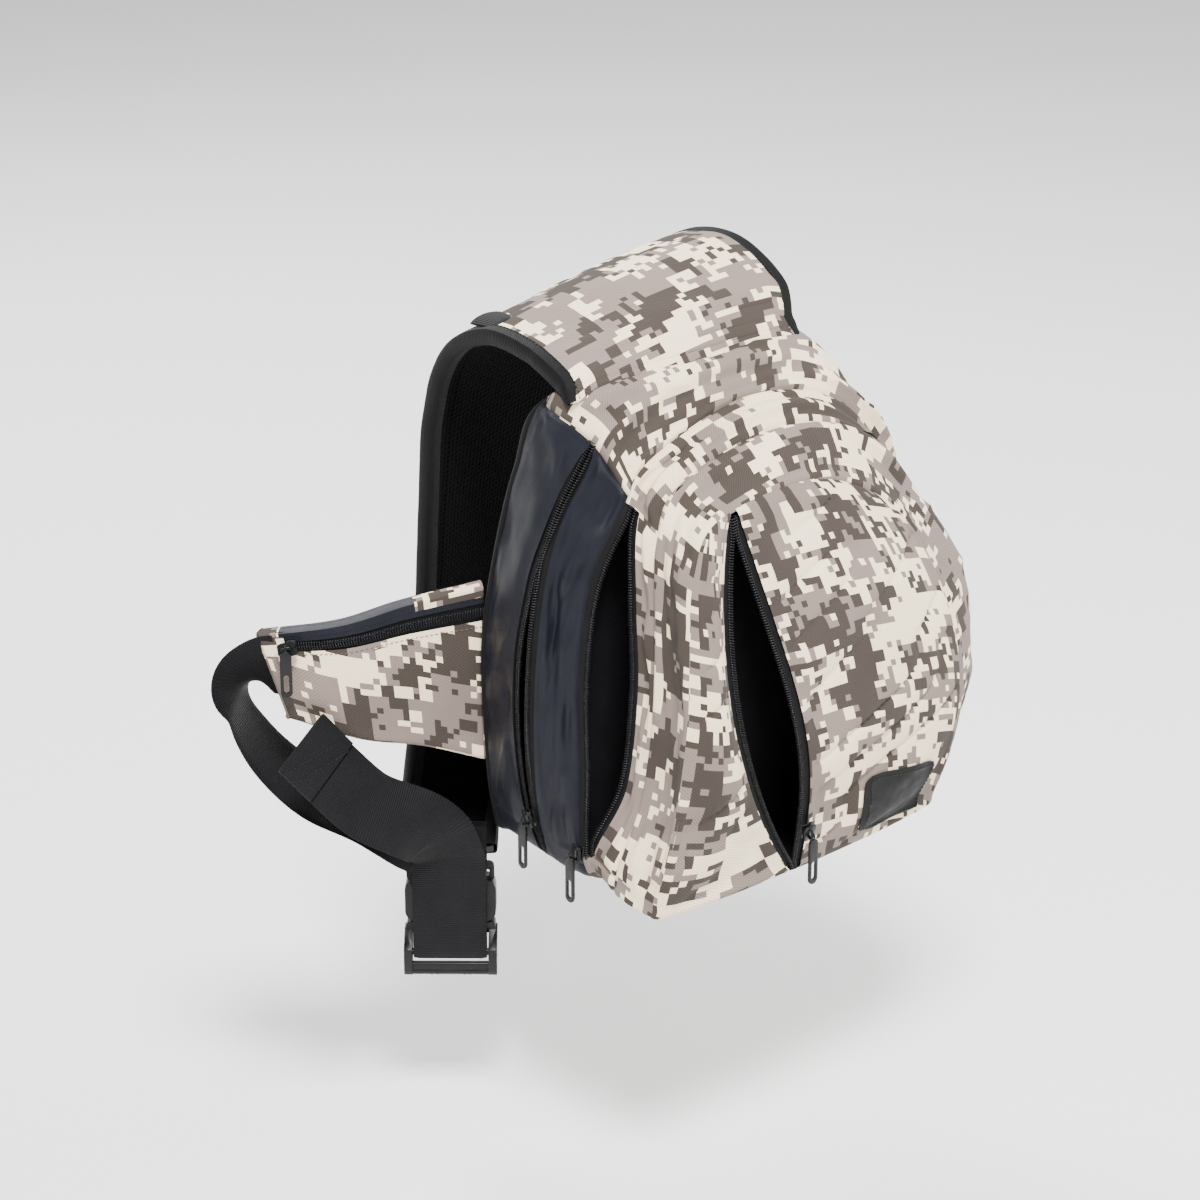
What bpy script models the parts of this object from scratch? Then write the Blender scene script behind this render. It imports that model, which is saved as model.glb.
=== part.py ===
"""Sling tackle backpack: padded shoulder strap, two side mouths, front pocket, hip wing and buckled belt.

Lengths below are in centimetres in bag coordinates: X to the right seen from the front, Y towards the
wearer, Z up, with the base of the bag at Z = 0.  world() turns them into metres about the shoulder seat,
the point under the strap's arch where the bag hangs from a shoulder.
"""
import math

import bmesh
import bpy
from mathutils import Vector

CM = 0.01
SEAT = Vector((-0.5, 17.9, 35.6))
FABRIC = 0.13
WEBBING_WIDTH = 5.0
WEBBING_THICKNESS = 0.16
CHAIN_WIDTH = 0.36
CHAIN_THICKNESS = 0.22
CHAIN_GAP = 0.11

# Outlines of the bag, front view, each starting at the lower left corner and running up the left side,
# over the top, down the right side and back along the base.
BACK = [(-11.2, 17.4, 2.2), (-11.8, 17.4, 8), (-11.9, 17.4, 14), (-11.5, 16.6, 20), (-11.2, 14.9, 26),
        (-10.6, 12.6, 30.9), (-0.7, 12.2, 31.7), (9.3, 12.6, 31.2), (10.2, 14.9, 26), (10.6, 16.6, 20),
        (10.9, 17.4, 14), (10.8, 17.4, 8), (10.2, 17.4, 2.2), (8.4, 17.4, 0.2), (-1, 17.4, 0),
        (-9.6, 17.4, 0.2)]
MOUTH = [(-12.9, 11.3, 3.0), (-13.9, 11.3, 8.5), (-13.8, 11.3, 14.5), (-12.9, 11.1, 20), (-11.6, 11, 26.5),
         (-10.7, 10.9, 31.6), (-0.7, 10.9, 32.1), (9.3, 10.9, 32.1), (12.4, 11, 27), (14.4, 11, 20.5),
         (14.8, 11, 14), (14.2, 11, 8), (12.6, 11, 2), (10.2, 11, 0.2), (-0.5, 11, 0), (-10.6, 11.2, 0.3)]
CREST = [(-12.9, 9.3, 2.6), (-13.3, 9.6, 8), (-13.2, 9.7, 14), (-12.3, 9.8, 20), (-10.4, 9.4, 25.8),
         (-7.6, 8.9, 30.2), (1.0, 9.0, 31.8), (9.6, 9.0, 30.8), (14.3, 8.6, 25.8), (16.6, 8.0, 19.1),
         (16.6, 7.8, 13), (16.0, 7.8, 7.5), (14.2, 8.2, 2.1), (11.6, 8.8, 0.1), (0, 9.2, 0),
         (-10.8, 9.3, 0.3)]
FOLD_BACK = [(-12.6, 7.4, 2.6), (-12.2, 7.9, 8), (-12.0, 8.2, 14), (-11.2, 8.0, 20), (-9.2, 7.2, 24.8),
             (-6.6, 7.2, 27.6), (2.2, 7.6, 29.8), (9.8, 7.2, 28.2), (14.2, 6.6, 23.4), (16.2, 5.8, 18),
             (16.7, 5.4, 12), (16.3, 5.4, 7), (14.5, 5.8, 2), (11.9, 6.4, 0.1), (0.3, 7.2, 0),
             (-10.6, 7.1, 0.3)]
FOLD_FRONT = [(-12.3, 6.2, 2.7), (-10.6, 5.3, 7.0), (-9.9, 5.1, 13.5), (-9.8, 5.3, 19.0), (-8.8, 6.1, 24.2),
              (-6.2, 6.4, 26.7), (2.5, 6.5, 28.7), (9.5, 6.0, 27.1), (13.6, 5.4, 22.7), (15.7, 4.6, 17.5),
              (16.2, 4.2, 12), (15.9, 4.2, 7), (14.4, 4.7, 2), (11.8, 5.4, 0.2), (0.5, 6, 0),
              (-10.4, 6.2, 0.4)]
SHOULDER = [(-12.5, 3, 1.6), (-11.2, 2.6, 7), (-10.3, 2.5, 13.3), (-9.9, 2.8, 18.6), (-9.0, 3.4, 23),
            (-6.3, 4.2, 26.1), (2.2, 4.6, 27.6), (8.8, 4.2, 26.4), (13.5, 3.5, 22.1), (16.7, 2.3, 16.6),
            (17.6, 1.7, 11), (17.2, 1.7, 6.3), (15.0, 2.2, 1.8), (12, 2.6, 0.2), (0, 3, 0),
            (-11.3, 3, 0.2)]
FACE_EDGE = [(-12.5, 0.2, 1.2), (-11.6, -0.4, 7), (-10.6, -0.4, 13), (-9.9, 0.2, 18), (-9.0, 0.9, 22),
             (-6.2, 1.6, 24.8), (2, 2.2, 25.4), (7.6, 2.0, 23.6), (11.2, 1.3, 20.4), (13.3, 0.1, 15.6),
             (14.1, -0.7, 10.5), (13.9, -0.7, 6), (13.0, 0, 1.8), (11.3, 0.3, 0.3), (-0.5, 0, 0),
             (-11.1, 0.2, 0.1)]
STATIONS = [BACK, MOUTH, CREST, FOLD_BACK, FOLD_FRONT, SHOULDER, FACE_EDGE]
BAG_CENTRE_X, BAG_CENTRE_Z = 1.0, 13.5
# The padded back is flat up to this height, and leans forward above it.
BACK_Y, BACK_FLAT_TOP = 17.4, 13.0

# Side mouths: where along the outline each one starts and ends, and how far its lips gape.
MAIN_MOUTH = (-0.85, 4.5)
MIDDLE_MOUTH = (-0.1, 4.12)
MAIN_GAPE_BACK, MAIN_GAPE_FRONT = 0.24, 0.42

# Where along the outline the front zip's foot and head meet it.
FACE_FOOT, FACE_HEAD = 14.0, 5.2

# The two long edges of the shoulder strap, from the bag's top over the arch to the buckle.
STRAP_LEFT = [(-10.9, 10.9, 32.7), (-10.9, 14, 34.0), (-10.6, 18.5, 34.2), (-10.3, 22.8, 32.1),
              (-10.2, 25.0, 27.8), (-10.3, 25.7, 21), (-10.6, 25.8, 14), (-11.7, 25.4, 6.7),
              (-13.6, 24.0, 1.4), (-14.83, 22.36, -2.0)]
STRAP_RIGHT = [(9.4, 10.9, 33.0), (10.1, 12.7, 35.3), (9.8, 17.1, 37.4), (9.5, 22.2, 36.3),
               (9.2, 26, 31.5), (7.5, 27.6, 23.5), (4, 27.5, 14.5), (-0.5, 26.0, 6.5),
               (-6.5, 22.1, 0.9), (-10.43, 18.26, -2.0)]
STRAP_LAYERS = {"shell": (0.0, 0.15), "foam": (0.19, 0.74), "lining": (0.78, 0.9)}
STRAP_CROWN = 0.45

WING_TOP = [(-12.4, 18.3, 17.4), (-15.9, 20.1, 16.6), (-19.6, 22.4, 15.5), (-23.2, 26.4, 14.6)]
WING_BOTTOM = [(-12.4, 18.3, 5.7), (-15.2, 19.7, 6.9), (-18.9, 21.7, 7.8), (-22.3, 24.6, 9.3)]
WING_ZIP_AT = 0.86

BUCKLE = Vector((-12.63, 20.31, -2.0))
BUCKLE_WIDE = Vector((0.731, -0.682, 0.0))
BUCKLE_FACE = Vector((-0.682, -0.731, 0.0))

BELT = [((-22.5, 26.6, 12.3), (0.36, 0.07, -0.93)), ((-23.3, 27.6, 11.8), (0.53, 0.24, -0.81)),
        ((-23.7, 28.3, 10.8), (0.74, 0.36, -0.57)), ((-23.6, 28.5, 9.4), (0.78, 0.49, -0.38)),
        ((-23.1, 27.9, 7.6), (0.88, 0.45, -0.14)), ((-22.0, 26.7, 5.4), (0.90, 0.43, 0.09)),
        ((-20.0, 24.9, 3.0), (0.92, 0.35, 0.18)), ((-17.3, 22.4, 1.4), (0.95, 0.10, 0.23)),
        ((-14.2, 19.95, -0.6), (0.80, -0.57, 0.15))]
TAIL = [((-15.2, 18.4, 0.6), (0.93, -0.36, 0.09)), ((-16.3, 18.6, 1.6), (0.97, -0.17, 0.18)),
        ((-17.7, 19.0, 2.5), (0.97, -0.03, 0.24)), ((-19.7, 19.9, 3.8), (0.97, 0.01, 0.23)),
        ((-21.4, 20.8, 5.8), (0.97, 0.01, 0.23)), ((-23.4, 22.1, 8.6), (0.97, -0.02, 0.22))]

MATERIALS = {
    "camo_fabric": ((0.56, 0.53, 0.46), 0.85, 0.0),
    "black_nylon": ((0.025, 0.027, 0.035), 0.55, 0.0),
    "air_mesh": ((0.02, 0.02, 0.022), 0.9, 0.0),
    "foam": ((0.12, 0.12, 0.12), 0.95, 0.0),
    "webbing": ((0.018, 0.018, 0.02), 0.8, 0.0),
    "zip_chain": ((0.015, 0.015, 0.016), 0.4, 0.0),
    "black_metal": ((0.02, 0.02, 0.022), 0.35, 0.8),
    "black_plastic": ((0.02, 0.02, 0.021), 0.45, 0.0),
    "lining": ((0.03, 0.03, 0.035), 0.8, 0.0),
    "patch": ((0.03, 0.03, 0.028), 0.6, 0.0),
}


def world(point):
    """Bag centimetres to metres about the shoulder seat."""
    return (Vector(point) - SEAT) * CM


def clear_scene():
    for item in list(bpy.data.objects):
        bpy.data.objects.remove(item, do_unlink=True)


def material(name):
    found = bpy.data.materials.get(name)
    if found:
        return found
    colour, roughness, metallic = MATERIALS[name]
    made = bpy.data.materials.new(name)
    made.use_nodes = True
    shader = made.node_tree.nodes["Principled BSDF"]
    shader.inputs["Base Color"].default_value = (*colour, 1.0)
    shader.inputs["Roughness"].default_value = roughness
    shader.inputs["Metallic"].default_value = metallic
    return made


def add_object(name, bm, finish, origin=None, smooth=True):
    """Closes up a bmesh drawn in bag centimetres and adds it with its origin at a bag point."""
    bmesh.ops.recalc_face_normals(bm, faces=bm.faces[:])
    pivot = world(origin) if origin is not None else Vector()
    for vertex in bm.verts:
        vertex.co = world(vertex.co) - pivot
    mesh = bpy.data.meshes.new(name)
    bm.to_mesh(mesh)
    bm.free()
    if smooth:
        mesh.shade_smooth()
        mesh.set_sharp_from_angle(angle=math.radians(40))
    mesh.materials.append(material(finish))
    made = bpy.data.objects.new(name, mesh)
    made.location = pivot
    bpy.context.collection.objects.link(made)
    return made


def spline(points, t, closed=False):
    """A smooth curve through the points, t = 0 at the first and 1 more at each next one."""
    count = len(points)
    if not closed:
        t = min(max(t, 0.0), count - 1.0)
    start = math.floor(t)
    if not closed and start >= count - 1:
        start = count - 2
    f = t - start
    if closed:
        a, b, c, d = (Vector(points[(start + k) % count]) for k in (-1, 0, 1, 2))
    else:
        b, c = Vector(points[start]), Vector(points[start + 1])
        a = Vector(points[start - 1]) if start > 0 else 2 * b - c
        d = Vector(points[start + 2]) if start + 2 < count else 2 * c - b
    return 0.5 * (2 * b + (c - a) * f + (2 * a - 5 * b + 4 * c - d) * f * f
                  + (3 * b - a - 3 * c + d) * f ** 3)


def skin(v, t):
    """The bag's outer surface: v = 0 at the back edge to 6 at the front face, t round the outline."""
    return spline([spline(ring, t, closed=True) for ring in STATIONS], v)


def skin_normal(v, t):
    step = 0.02
    along_v = skin(min(v + step, 6), t) - skin(max(v - step, 0), t)
    along_t = skin(v, t + step) - skin(v, t - step)
    normal = along_v.cross(along_t).normalized()
    here = skin(v, t)
    outward = Vector((here.x - BAG_CENTRE_X, 0, here.z - BAG_CENTRE_Z))
    return normal if normal.dot(outward) > 0 else -normal


def steps(first, last, count):
    return [first + (last - first) * k / count for k in range(count + 1)]


def bump(t, ends):
    """0 at both ends of a mouth and 1 in its middle."""
    f = (t - ends[0]) / (ends[1] - ends[0])
    return math.sin(math.pi * f) ** 0.7 if 0 < f < 1 else 0.0


def main_line(t):
    """Where the main zip runs: round the widest outline, and forward at its top end."""
    rise = min(max((t - 2.9) / 1.6, 0.0), 1.0)
    return 1.0 + 0.85 * rise * rise * (3 - 2 * rise)


def main_lip_back(t):
    line = main_line(t)
    return line - 0.03 - MAIN_GAPE_BACK * (1 + 1.6 * (line - 1)) * bump(t, MAIN_MOUTH)


def main_lip_front(t):
    return main_line(t) + 0.03 + MAIN_GAPE_FRONT * bump(t, MAIN_MOUTH)


def colour_seam(v):
    """Where black side cloth meets camouflage cloth on the upper left edge."""
    return 5.0 - 0.26 * v


def grid_solid(name, outer, inner, finish):
    """A closed sheet between two grids of points with the same rows and columns."""
    bm = bmesh.new()
    top = [[bm.verts.new(p) for p in row] for row in outer]
    low = [[bm.verts.new(p) for p in row] for row in inner]
    rows, cols = len(outer), len(outer[0])
    for i in range(rows - 1):
        for j in range(cols - 1):
            bm.faces.new((top[i][j], top[i][j + 1], top[i + 1][j + 1], top[i + 1][j]))
            bm.faces.new((low[i][j], low[i + 1][j], low[i + 1][j + 1], low[i][j + 1]))
    for i in range(rows - 1):
        for j in (0, cols - 1):
            bm.faces.new((top[i][j], top[i + 1][j], low[i + 1][j], low[i][j]))
    for j in range(cols - 1):
        for i in (0, rows - 1):
            bm.faces.new((top[i][j], low[i][j], low[i][j + 1], top[i][j + 1]))
    bmesh.ops.triangulate(bm, faces=bm.faces[:])
    return add_object(name, bm, finish)


def bag_panel(name, v_from, v_to, t_from, t_to, across, along, finish):
    """A piece of the bag's cloth wall; its limits may depend on the place along the outline."""
    outer, inner = [], []
    for f in steps(0.0, 1.0, across):
        row = []
        for g in steps(0.0, 1.0, along):
            t = t_from(f) + (t_to(f) - t_from(f)) * g
            v = v_from(t) + (v_to(t) - v_from(t)) * f
            row.append((skin(v, t), skin_normal(v, t)))
        outer.append([point for point, _ in row])
        inner.append([point - normal * FABRIC for point, normal in row])
    return grid_solid(name, outer, inner, finish)


def ribbon(name, stations, finish, width=WEBBING_WIDTH, thickness=WEBBING_THICKNESS):
    """A flat band: each station is its middle and the direction of its width."""
    centres = [Vector(point) for point, _ in stations]
    bm = bmesh.new()
    loops = []
    for k, (point, wide) in enumerate(stations):
        ahead = centres[min(k + 1, len(centres) - 1)] - centres[max(k - 1, 0)]
        ahead.normalize()
        side = Vector(wide)
        side = (side - ahead * side.dot(ahead)).normalized()
        flat = ahead.cross(side)
        corners = ((-1, -1), (1, -1), (1, 1), (-1, 1))
        loops.append([bm.verts.new(Vector(point) + side * (a * width / 2) + flat * (b * thickness / 2))
                      for a, b in corners])
    for first, second in zip(loops, loops[1:]):
        for k in range(4):
            n = (k + 1) % 4
            bm.faces.new((first[k], first[n], second[n], second[k]))
    bm.faces.new(loops[0][::-1])
    bm.faces.new(loops[-1])
    bmesh.ops.triangulate(bm, faces=bm.faces[:])
    return add_object(name, bm, finish)


def smooth_stations(keys, count):
    """More stations on a smooth curve through the given ones."""
    places = [point for point, _ in keys]
    widths = [wide for _, wide in keys]
    return [(spline(places, t), spline(widths, t)) for t in steps(0, len(keys) - 1, count)]


def coons(bottom, top, left, right, fade=1):
    """A surface inside four edge curves that meet at the corners; a higher fade keeps the bulge of the
    bottom and top edges closer to them."""
    def point(a, b):
        low_bulge = bottom(a) - bottom(0).lerp(bottom(1), a)
        high_bulge = top(a) - top(0).lerp(top(1), a)
        return left(b).lerp(right(b), a) + low_bulge * (1 - b) ** fade + high_bulge * b ** fade
    return point


def ring_sheet(ring):
    """A sheet that fills one outline, a from left to right and b from the base to the top."""
    return coons(lambda a: spline(ring, -1 - 2 * a, True), lambda a: spline(ring, 5 + 2 * a, True),
                 lambda b: spline(ring, -1 + 6 * b, True), lambda b: spline(ring, 13 - 6 * b, True))


def wall(name, surface, inset, shift, thickness, finish, across=4, along=6):
    """An upright sheet inside the bag, moved along Y by shift and thick towards the front."""
    front, back = [], []
    for b in steps(inset, 1 - inset, along):
        row = [surface(a, b) for a in steps(inset, 1 - inset, across)]
        back.append([p + Vector((0, shift, 0)) for p in row])
        front.append([p + Vector((0, shift - thickness, 0)) for p in row])
    return grid_solid(name, back, front, finish)


def box(bm, low, high, axes, centre):
    """Adds a box given by its limits along three axes through a centre."""
    corners = []
    for i in (0, 1):
        for j in (0, 1):
            for k in (0, 1):
                spot = ((low[0], high[0])[i], (low[1], high[1])[j], (low[2], high[2])[k])
                corners.append(bm.verts.new(centre + axes[0] * spot[0] + axes[1] * spot[1]
                                            + axes[2] * spot[2]))
    for quad in ((0, 1, 3, 2), (4, 6, 7, 5), (0, 4, 5, 1), (2, 3, 7, 6), (0, 2, 6, 4), (1, 5, 7, 3)):
        bm.faces.new([corners[k] for k in quad])


def box_object(name, low, high, axes, centre, finish, bevel=0.0, origin=None):
    bm = bmesh.new()
    box(bm, low, high, axes, centre)
    if bevel:
        bmesh.ops.recalc_face_normals(bm, faces=bm.faces[:])
        bmesh.ops.bevel(bm, geom=bm.edges[:], offset=bevel, segments=1, affect="EDGES")
    return add_object(name, bm, finish, origin)


def boolean(target, tools, operation):
    for tool in tools:
        cut = target.modifiers.new(tool.name, "BOOLEAN")
        cut.operation = operation
        cut.object = tool
        cut.solver = "EXACT"
        tool.hide_render = True
        tool.display_type = "WIRE"


def make_bag():
    """Cloth walls of the bag, its padded back and the two inner walls."""
    bag_panel("rear_side_panel", lambda t: 0.02, main_lip_back, lambda f: -1.2,
              lambda f: colour_seam(f * 1.8) - 0.02, 3, 14, "black_nylon")
    bag_panel("main_wrap", lambda t: 0.02, lambda t: 2.95, lambda f: colour_seam(3.0 * f) + 0.02,
              lambda f: 14.78, 6, 22, "camo_fabric")
    bag_panel("side_band", main_lip_front, lambda t: 2.96, lambda f: -1.2,
              lambda f: colour_seam(1.85 + 1.15 * f) - 0.02, 2, 14, "black_nylon")
    bag_panel("middle_gusset_side", lambda t: 3.94 + 0.1 * bump(t, MIDDLE_MOUTH), lambda t: 4.55,
              lambda f: MIDDLE_MOUTH[0] + 0.02, lambda f: MIDDLE_MOUTH[1], 1, 12, "camo_fabric")
    bag_panel("middle_gusset_wrap", lambda t: 3.08, lambda t: 4.55, lambda f: MIDDLE_MOUTH[1] + 0.03,
              lambda f: 15.88, 3, 20, "camo_fabric")
    bag_panel("front_gusset", lambda t: 4.6, lambda t: 5.9, lambda f: 0.0, lambda f: 15.985, 3, 30,
              "camo_fabric")

    slope = ring_sheet(BACK)

    def back(a, b):
        point = slope(a, b)
        return Vector((point.x, BACK_Y, point.z)) if point.z < BACK_FLAT_TOP else point

    wall("back_mesh_cover", back, 0.055, 0.05, 0.12, "air_mesh", 5, 8)
    wall("back_foam", back, 0.055, -0.11, 0.7, "foam", 5, 8)
    wall("back_lining", back, 0.055, -0.85, 0.1, "lining", 5, 8)
    wall("main_divider", ring_sheet(CREST), 0.08, -0.1, 0.12, "lining")
    wall("middle_divider", ring_sheet(FOLD_FRONT), 0.14, -1.5, 0.12, "lining")


def face_lip(side):
    """The open front zip: side = 1 for the right lip, -1 for the left lip, b from foot to top."""
    foot = spline(FACE_EDGE, FACE_FOOT - 0.03 * side, True)
    head = spline(FACE_EDGE, FACE_HEAD + 0.03 * side, True)

    def point(b):
        belly = math.sin(math.pi * b)
        if side > 0:
            move = Vector((0.35 * math.sin(2 * math.pi * b), -2.8 * belly, 0))
        else:
            move = Vector((-3.9 * belly ** 0.8, -1.3 * belly, 0))
        return foot.lerp(head, b) + move
    return point


def face_right():
    lip = face_lip(1)
    return coons(lambda a: spline(FACE_EDGE, 13.97 - 1.37 * a, True),
                 lambda a: spline(FACE_EDGE, FACE_HEAD + 0.03 + (2.37 - FACE_HEAD + 5) * a, True), lip,
                 lambda b: spline(FACE_EDGE, 12.6 - 5.2 * b, True))


def face_left():
    lip = face_lip(-1)
    return coons(lambda a: spline(FACE_EDGE, -0.4 - 1.57 * a, True),
                 lambda a: spline(FACE_EDGE, 4.6 + (FACE_HEAD - 4.63) * a, True),
                 lambda b: spline(FACE_EDGE, -0.4 + 5.0 * b, True), lip, 6)


def face_point(surface, a, b, depth=0.0):
    """A point of the front face with its soft belly, moved forward by depth."""
    belly = 0.9 * math.sin(math.pi * min(max(a, 0), 1)) * math.sin(math.pi * min(max(b, 0), 1))
    return surface(a, b) + Vector((0, -belly - depth, 0))


def face_sheet(name, surface, a_range, b_range, depth, thickness, across, along, finish):
    front, back = [], []
    for b in steps(*b_range, along):
        front.append([face_point(surface, a, b, depth) for a in steps(*a_range, across)])
        back.append([face_point(surface, a, b, depth - thickness) for a in steps(*a_range, across)])
    return grid_solid(name, front, back, finish)


def make_front_face():
    right, left = face_right(), face_left()
    face_sheet("front_face_right", right, (0.0, 0.985), (0.012, 0.985), 0.0, FABRIC, 6, 10, "camo_fabric")
    face_sheet("front_face_left", left, (0.02, 1.0), (0.012, 0.985), 0.0, FABRIC, 3, 10, "camo_fabric")
    face_sheet("label_patch", right, (0.27, 0.70), (0.05, 0.235), 0.11, 0.05, 5, 3, "patch")


def chain(name, points, wides):
    stations = list(zip(points, wides))
    return ribbon(name, stations, "zip_chain", CHAIN_WIDTH, CHAIN_THICKNESS)


def lip_chain(name, lip, ends, side, count):
    """Half a zip along one lip of a side mouth; side = 1 lies in front of the lip, -1 behind it."""
    points, wides = [], []
    for t in steps(*ends, count):
        v = lip(t)
        ahead = (skin(v + 0.02, t) - skin(v - 0.02, t)).normalized() * side
        normal = skin_normal(v, t)
        points.append(skin(v, t) + ahead * (CHAIN_WIDTH / 2 + CHAIN_GAP) - normal * CHAIN_THICKNESS / 2)
        wides.append(ahead)
    return chain(name, points, wides)


def make_zip_chains():
    low, high = MAIN_MOUTH
    lip_chain("main_zip_rear_half", main_lip_back, (low + 0.55, high - 1.1), 1, 16)
    lip_chain("main_zip_front_half", main_lip_front, (low + 0.55, high - 1.1), -1, 16)
    low, high = MIDDLE_MOUTH
    lip_chain("middle_zip_rear_half", lambda t: 2.97, (low + 0.25, high - 0.1), 1, 14)
    lip_chain("middle_zip_front_half", lambda t: 3.94 + 0.1 * bump(t, MIDDLE_MOUTH),
              (low + 0.25, high - 0.1), -1, 14)
    for name, side in (("front_zip_right_half", 1), ("front_zip_left_half", -1)):
        lip = face_lip(side)
        move = Vector((-side * (CHAIN_WIDTH / 2 + CHAIN_GAP), 0, 0))
        spots = [lip(b) + move + Vector((0, CHAIN_THICKNESS / 2, 0)) for b in steps(0.075, 0.93, 14)]
        chain(name, spots, [Vector((1, 0, 0))] * len(spots))


def circle_through(first, middle, last):
    """Centre, axis and angle of the arc from the first point over the middle one to the last."""
    a, b = first - last, middle - last
    across = a.cross(b)
    lean = (a.length_squared * b - b.length_squared * a).cross(across)
    centre = last + lean / (2 * across.length_squared)
    axis = (first - centre).cross(middle - centre).normalized()
    angle = (first - centre).angle(middle - centre) + (middle - centre).angle(last - centre)
    return centre, axis, angle


# Slider paths: where each slider starts, a middle point and where its travel ends.
SLIDER_PATHS = {
    "main": ((-13.55, 11.15, 4.0), (-14.55, 11.2, 11.5), (-13.6, 11.0, 19.5)),
    "middle": ((-13.35, 6.75, 2.9), (-12.75, 6.9, 12.0), (-11.75, 6.9, 20.5)),
    "front": ((-1.0, -1.5, 3.4), (-3.2, -2.85, 12.8), (-4.9, -0.6, 22.6)),
    "wing": ((-22.45, 24.4, 14.1), (-18.0, 20.45, 15.35), (-13.3, 17.6, 16.1)),
}
SLIDER_SIZE = (0.95, 0.42, 1.25)
PULL_LENGTH, PULL_WIDTH, PULL_THICKNESS = 3.6, 0.78, 0.18


def make_slider(zip_name, hang_axis):
    """A slider on its arc, and the pull tab that hangs from it and turns about hang_axis."""
    first, middle, last = (Vector(p) for p in SLIDER_PATHS[zip_name])
    centre, axis, _ = circle_through(first, middle, last)
    outward = (first - centre).normalized()
    along = axis.cross(outward)
    wide, thick, long = SLIDER_SIZE
    axes = (axis, outward, along)
    high = (wide / 2, thick / 2, long / 2)
    low = tuple(-size for size in high)
    box_object(f"{zip_name}_zip_slider", low, high, axes, first, "black_metal", 0.08, centre)

    hang = Vector(hang_axis).normalized()
    down = Vector((0, 0, -1))
    away = hang.cross(down)
    pivot = first + outward * (thick / 2 + 0.32)
    bm = bmesh.new()
    sides = 16
    loops = []
    for face in (-1, 1):
        for half_wide, low, high in ((PULL_WIDTH / 2, -0.3, PULL_LENGTH - 0.3), (0.17, 1.75, 2.95)):
            loop = []
            for k in range(sides):
                turn = 2 * math.pi * (k + 0.5) / sides
                reach = (high - low) / 2 - half_wide
                fall = (low + high) / 2 + half_wide * math.cos(turn) + math.copysign(reach, math.cos(turn))
                loop.append(bm.verts.new(pivot + hang * half_wide * math.sin(turn) + down * fall
                                         + away * face * PULL_THICKNESS / 2))
            loops.append(loop)
    for first_loop, second_loop in ((0, 1), (1, 3), (3, 2), (2, 0)):
        for k in range(sides):
            n = (k + 1) % sides
            bm.faces.new((loops[first_loop][k], loops[first_loop][n], loops[second_loop][n],
                          loops[second_loop][k]))
    bmesh.ops.triangulate(bm, faces=bm.faces[:])
    add_object(f"{zip_name}_zip_pull", bm, "black_metal", pivot)


def strap_point(s, a, depth=0.0):
    """The strap's outer surface: s along it, a across from the left edge; depth goes inward."""
    def crown(at_s, at_a):
        left, right = spline(STRAP_LEFT, at_s), spline(STRAP_RIGHT, at_s)
        return left.lerp(right, at_a)
    step = 0.05
    along = crown(min(s + step, 9), a) - crown(max(s - step, 0), a)
    across = spline(STRAP_RIGHT, s) - spline(STRAP_LEFT, s)
    normal = across.cross(along).normalized()
    lift = STRAP_CROWN * math.sin(math.pi * a) - depth
    return crown(s, a) + normal * lift


def make_strap():
    edge = 0.035
    finishes = {"shell": "camo_fabric", "foam": "foam", "lining": "air_mesh"}
    for layer, (top, low) in STRAP_LAYERS.items():
        outer = [[strap_point(s, a, top) for a in steps(edge, 1 - edge, 4)] for s in steps(0.02, 8.98, 22)]
        inner = [[strap_point(s, a, low) for a in steps(edge, 1 - edge, 4)] for s in steps(0.02, 8.98, 22)]
        grid_solid(f"strap_{layer}", outer, inner, finishes[layer])
    for name, a, out in (("strap_binding_left", 0.0, -1), ("strap_binding_right", 1.0, 1)):
        stations = []
        for s in steps(0.02, 8.98, 22):
            width = spline(STRAP_RIGHT, s) - spline(STRAP_LEFT, s)
            inset = min(0.8 * edge * width.length - 0.22, 0.35)
            spot = strap_point(s, a, 0.45) - width.normalized() * out * inset
            thick = strap_point(s, a, 0.0) - strap_point(s, a, 1.0)
            stations.append((spot, thick))
        ribbon(name, stations, "webbing", 0.95, 0.26)

    loop = [(strap_point(2.15, 0.02 + 0.03 * k, -0.28 - lift), (0, 1, 0))
            for k, lift in enumerate((0.0, 0.25, 0.35, 0.25, 0.0))]
    ribbon("strap_side_tab", loop, "webbing", 2.5, 0.14)


def wing_point(s, b, depth=0.0):
    """The hip wing's front: s from root to tip, b from bottom to top, depth towards the wearer."""
    low, high = spline(WING_BOTTOM, s), spline(WING_TOP, s)
    along = (spline(WING_TOP, min(s + 0.1, 3)) + spline(WING_BOTTOM, min(s + 0.1, 3))
             - spline(WING_TOP, max(s - 0.1, 0)) - spline(WING_BOTTOM, max(s - 0.1, 0)))
    front = Vector((-along.y, along.x, 0)).normalized()
    if front.y > 0:
        front = -front
    full = 0.55 * math.sin(math.pi * min(max(s / 3, 0), 1)) ** 0.6 * math.sin(math.pi * min(b / 0.95, 1))
    return low.lerp(high, b) + front * (full - depth)


def wing_layer(name, s_range, b_range, top, low, rows, cols, finish):
    outer = [[wing_point(s, b, top) for b in steps(*b_range, rows)] for s in steps(*s_range, cols)]
    inner = [[wing_point(s, b, low) for b in steps(*b_range, rows)] for s in steps(*s_range, cols)]
    grid_solid(name, outer, inner, finish)


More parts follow.
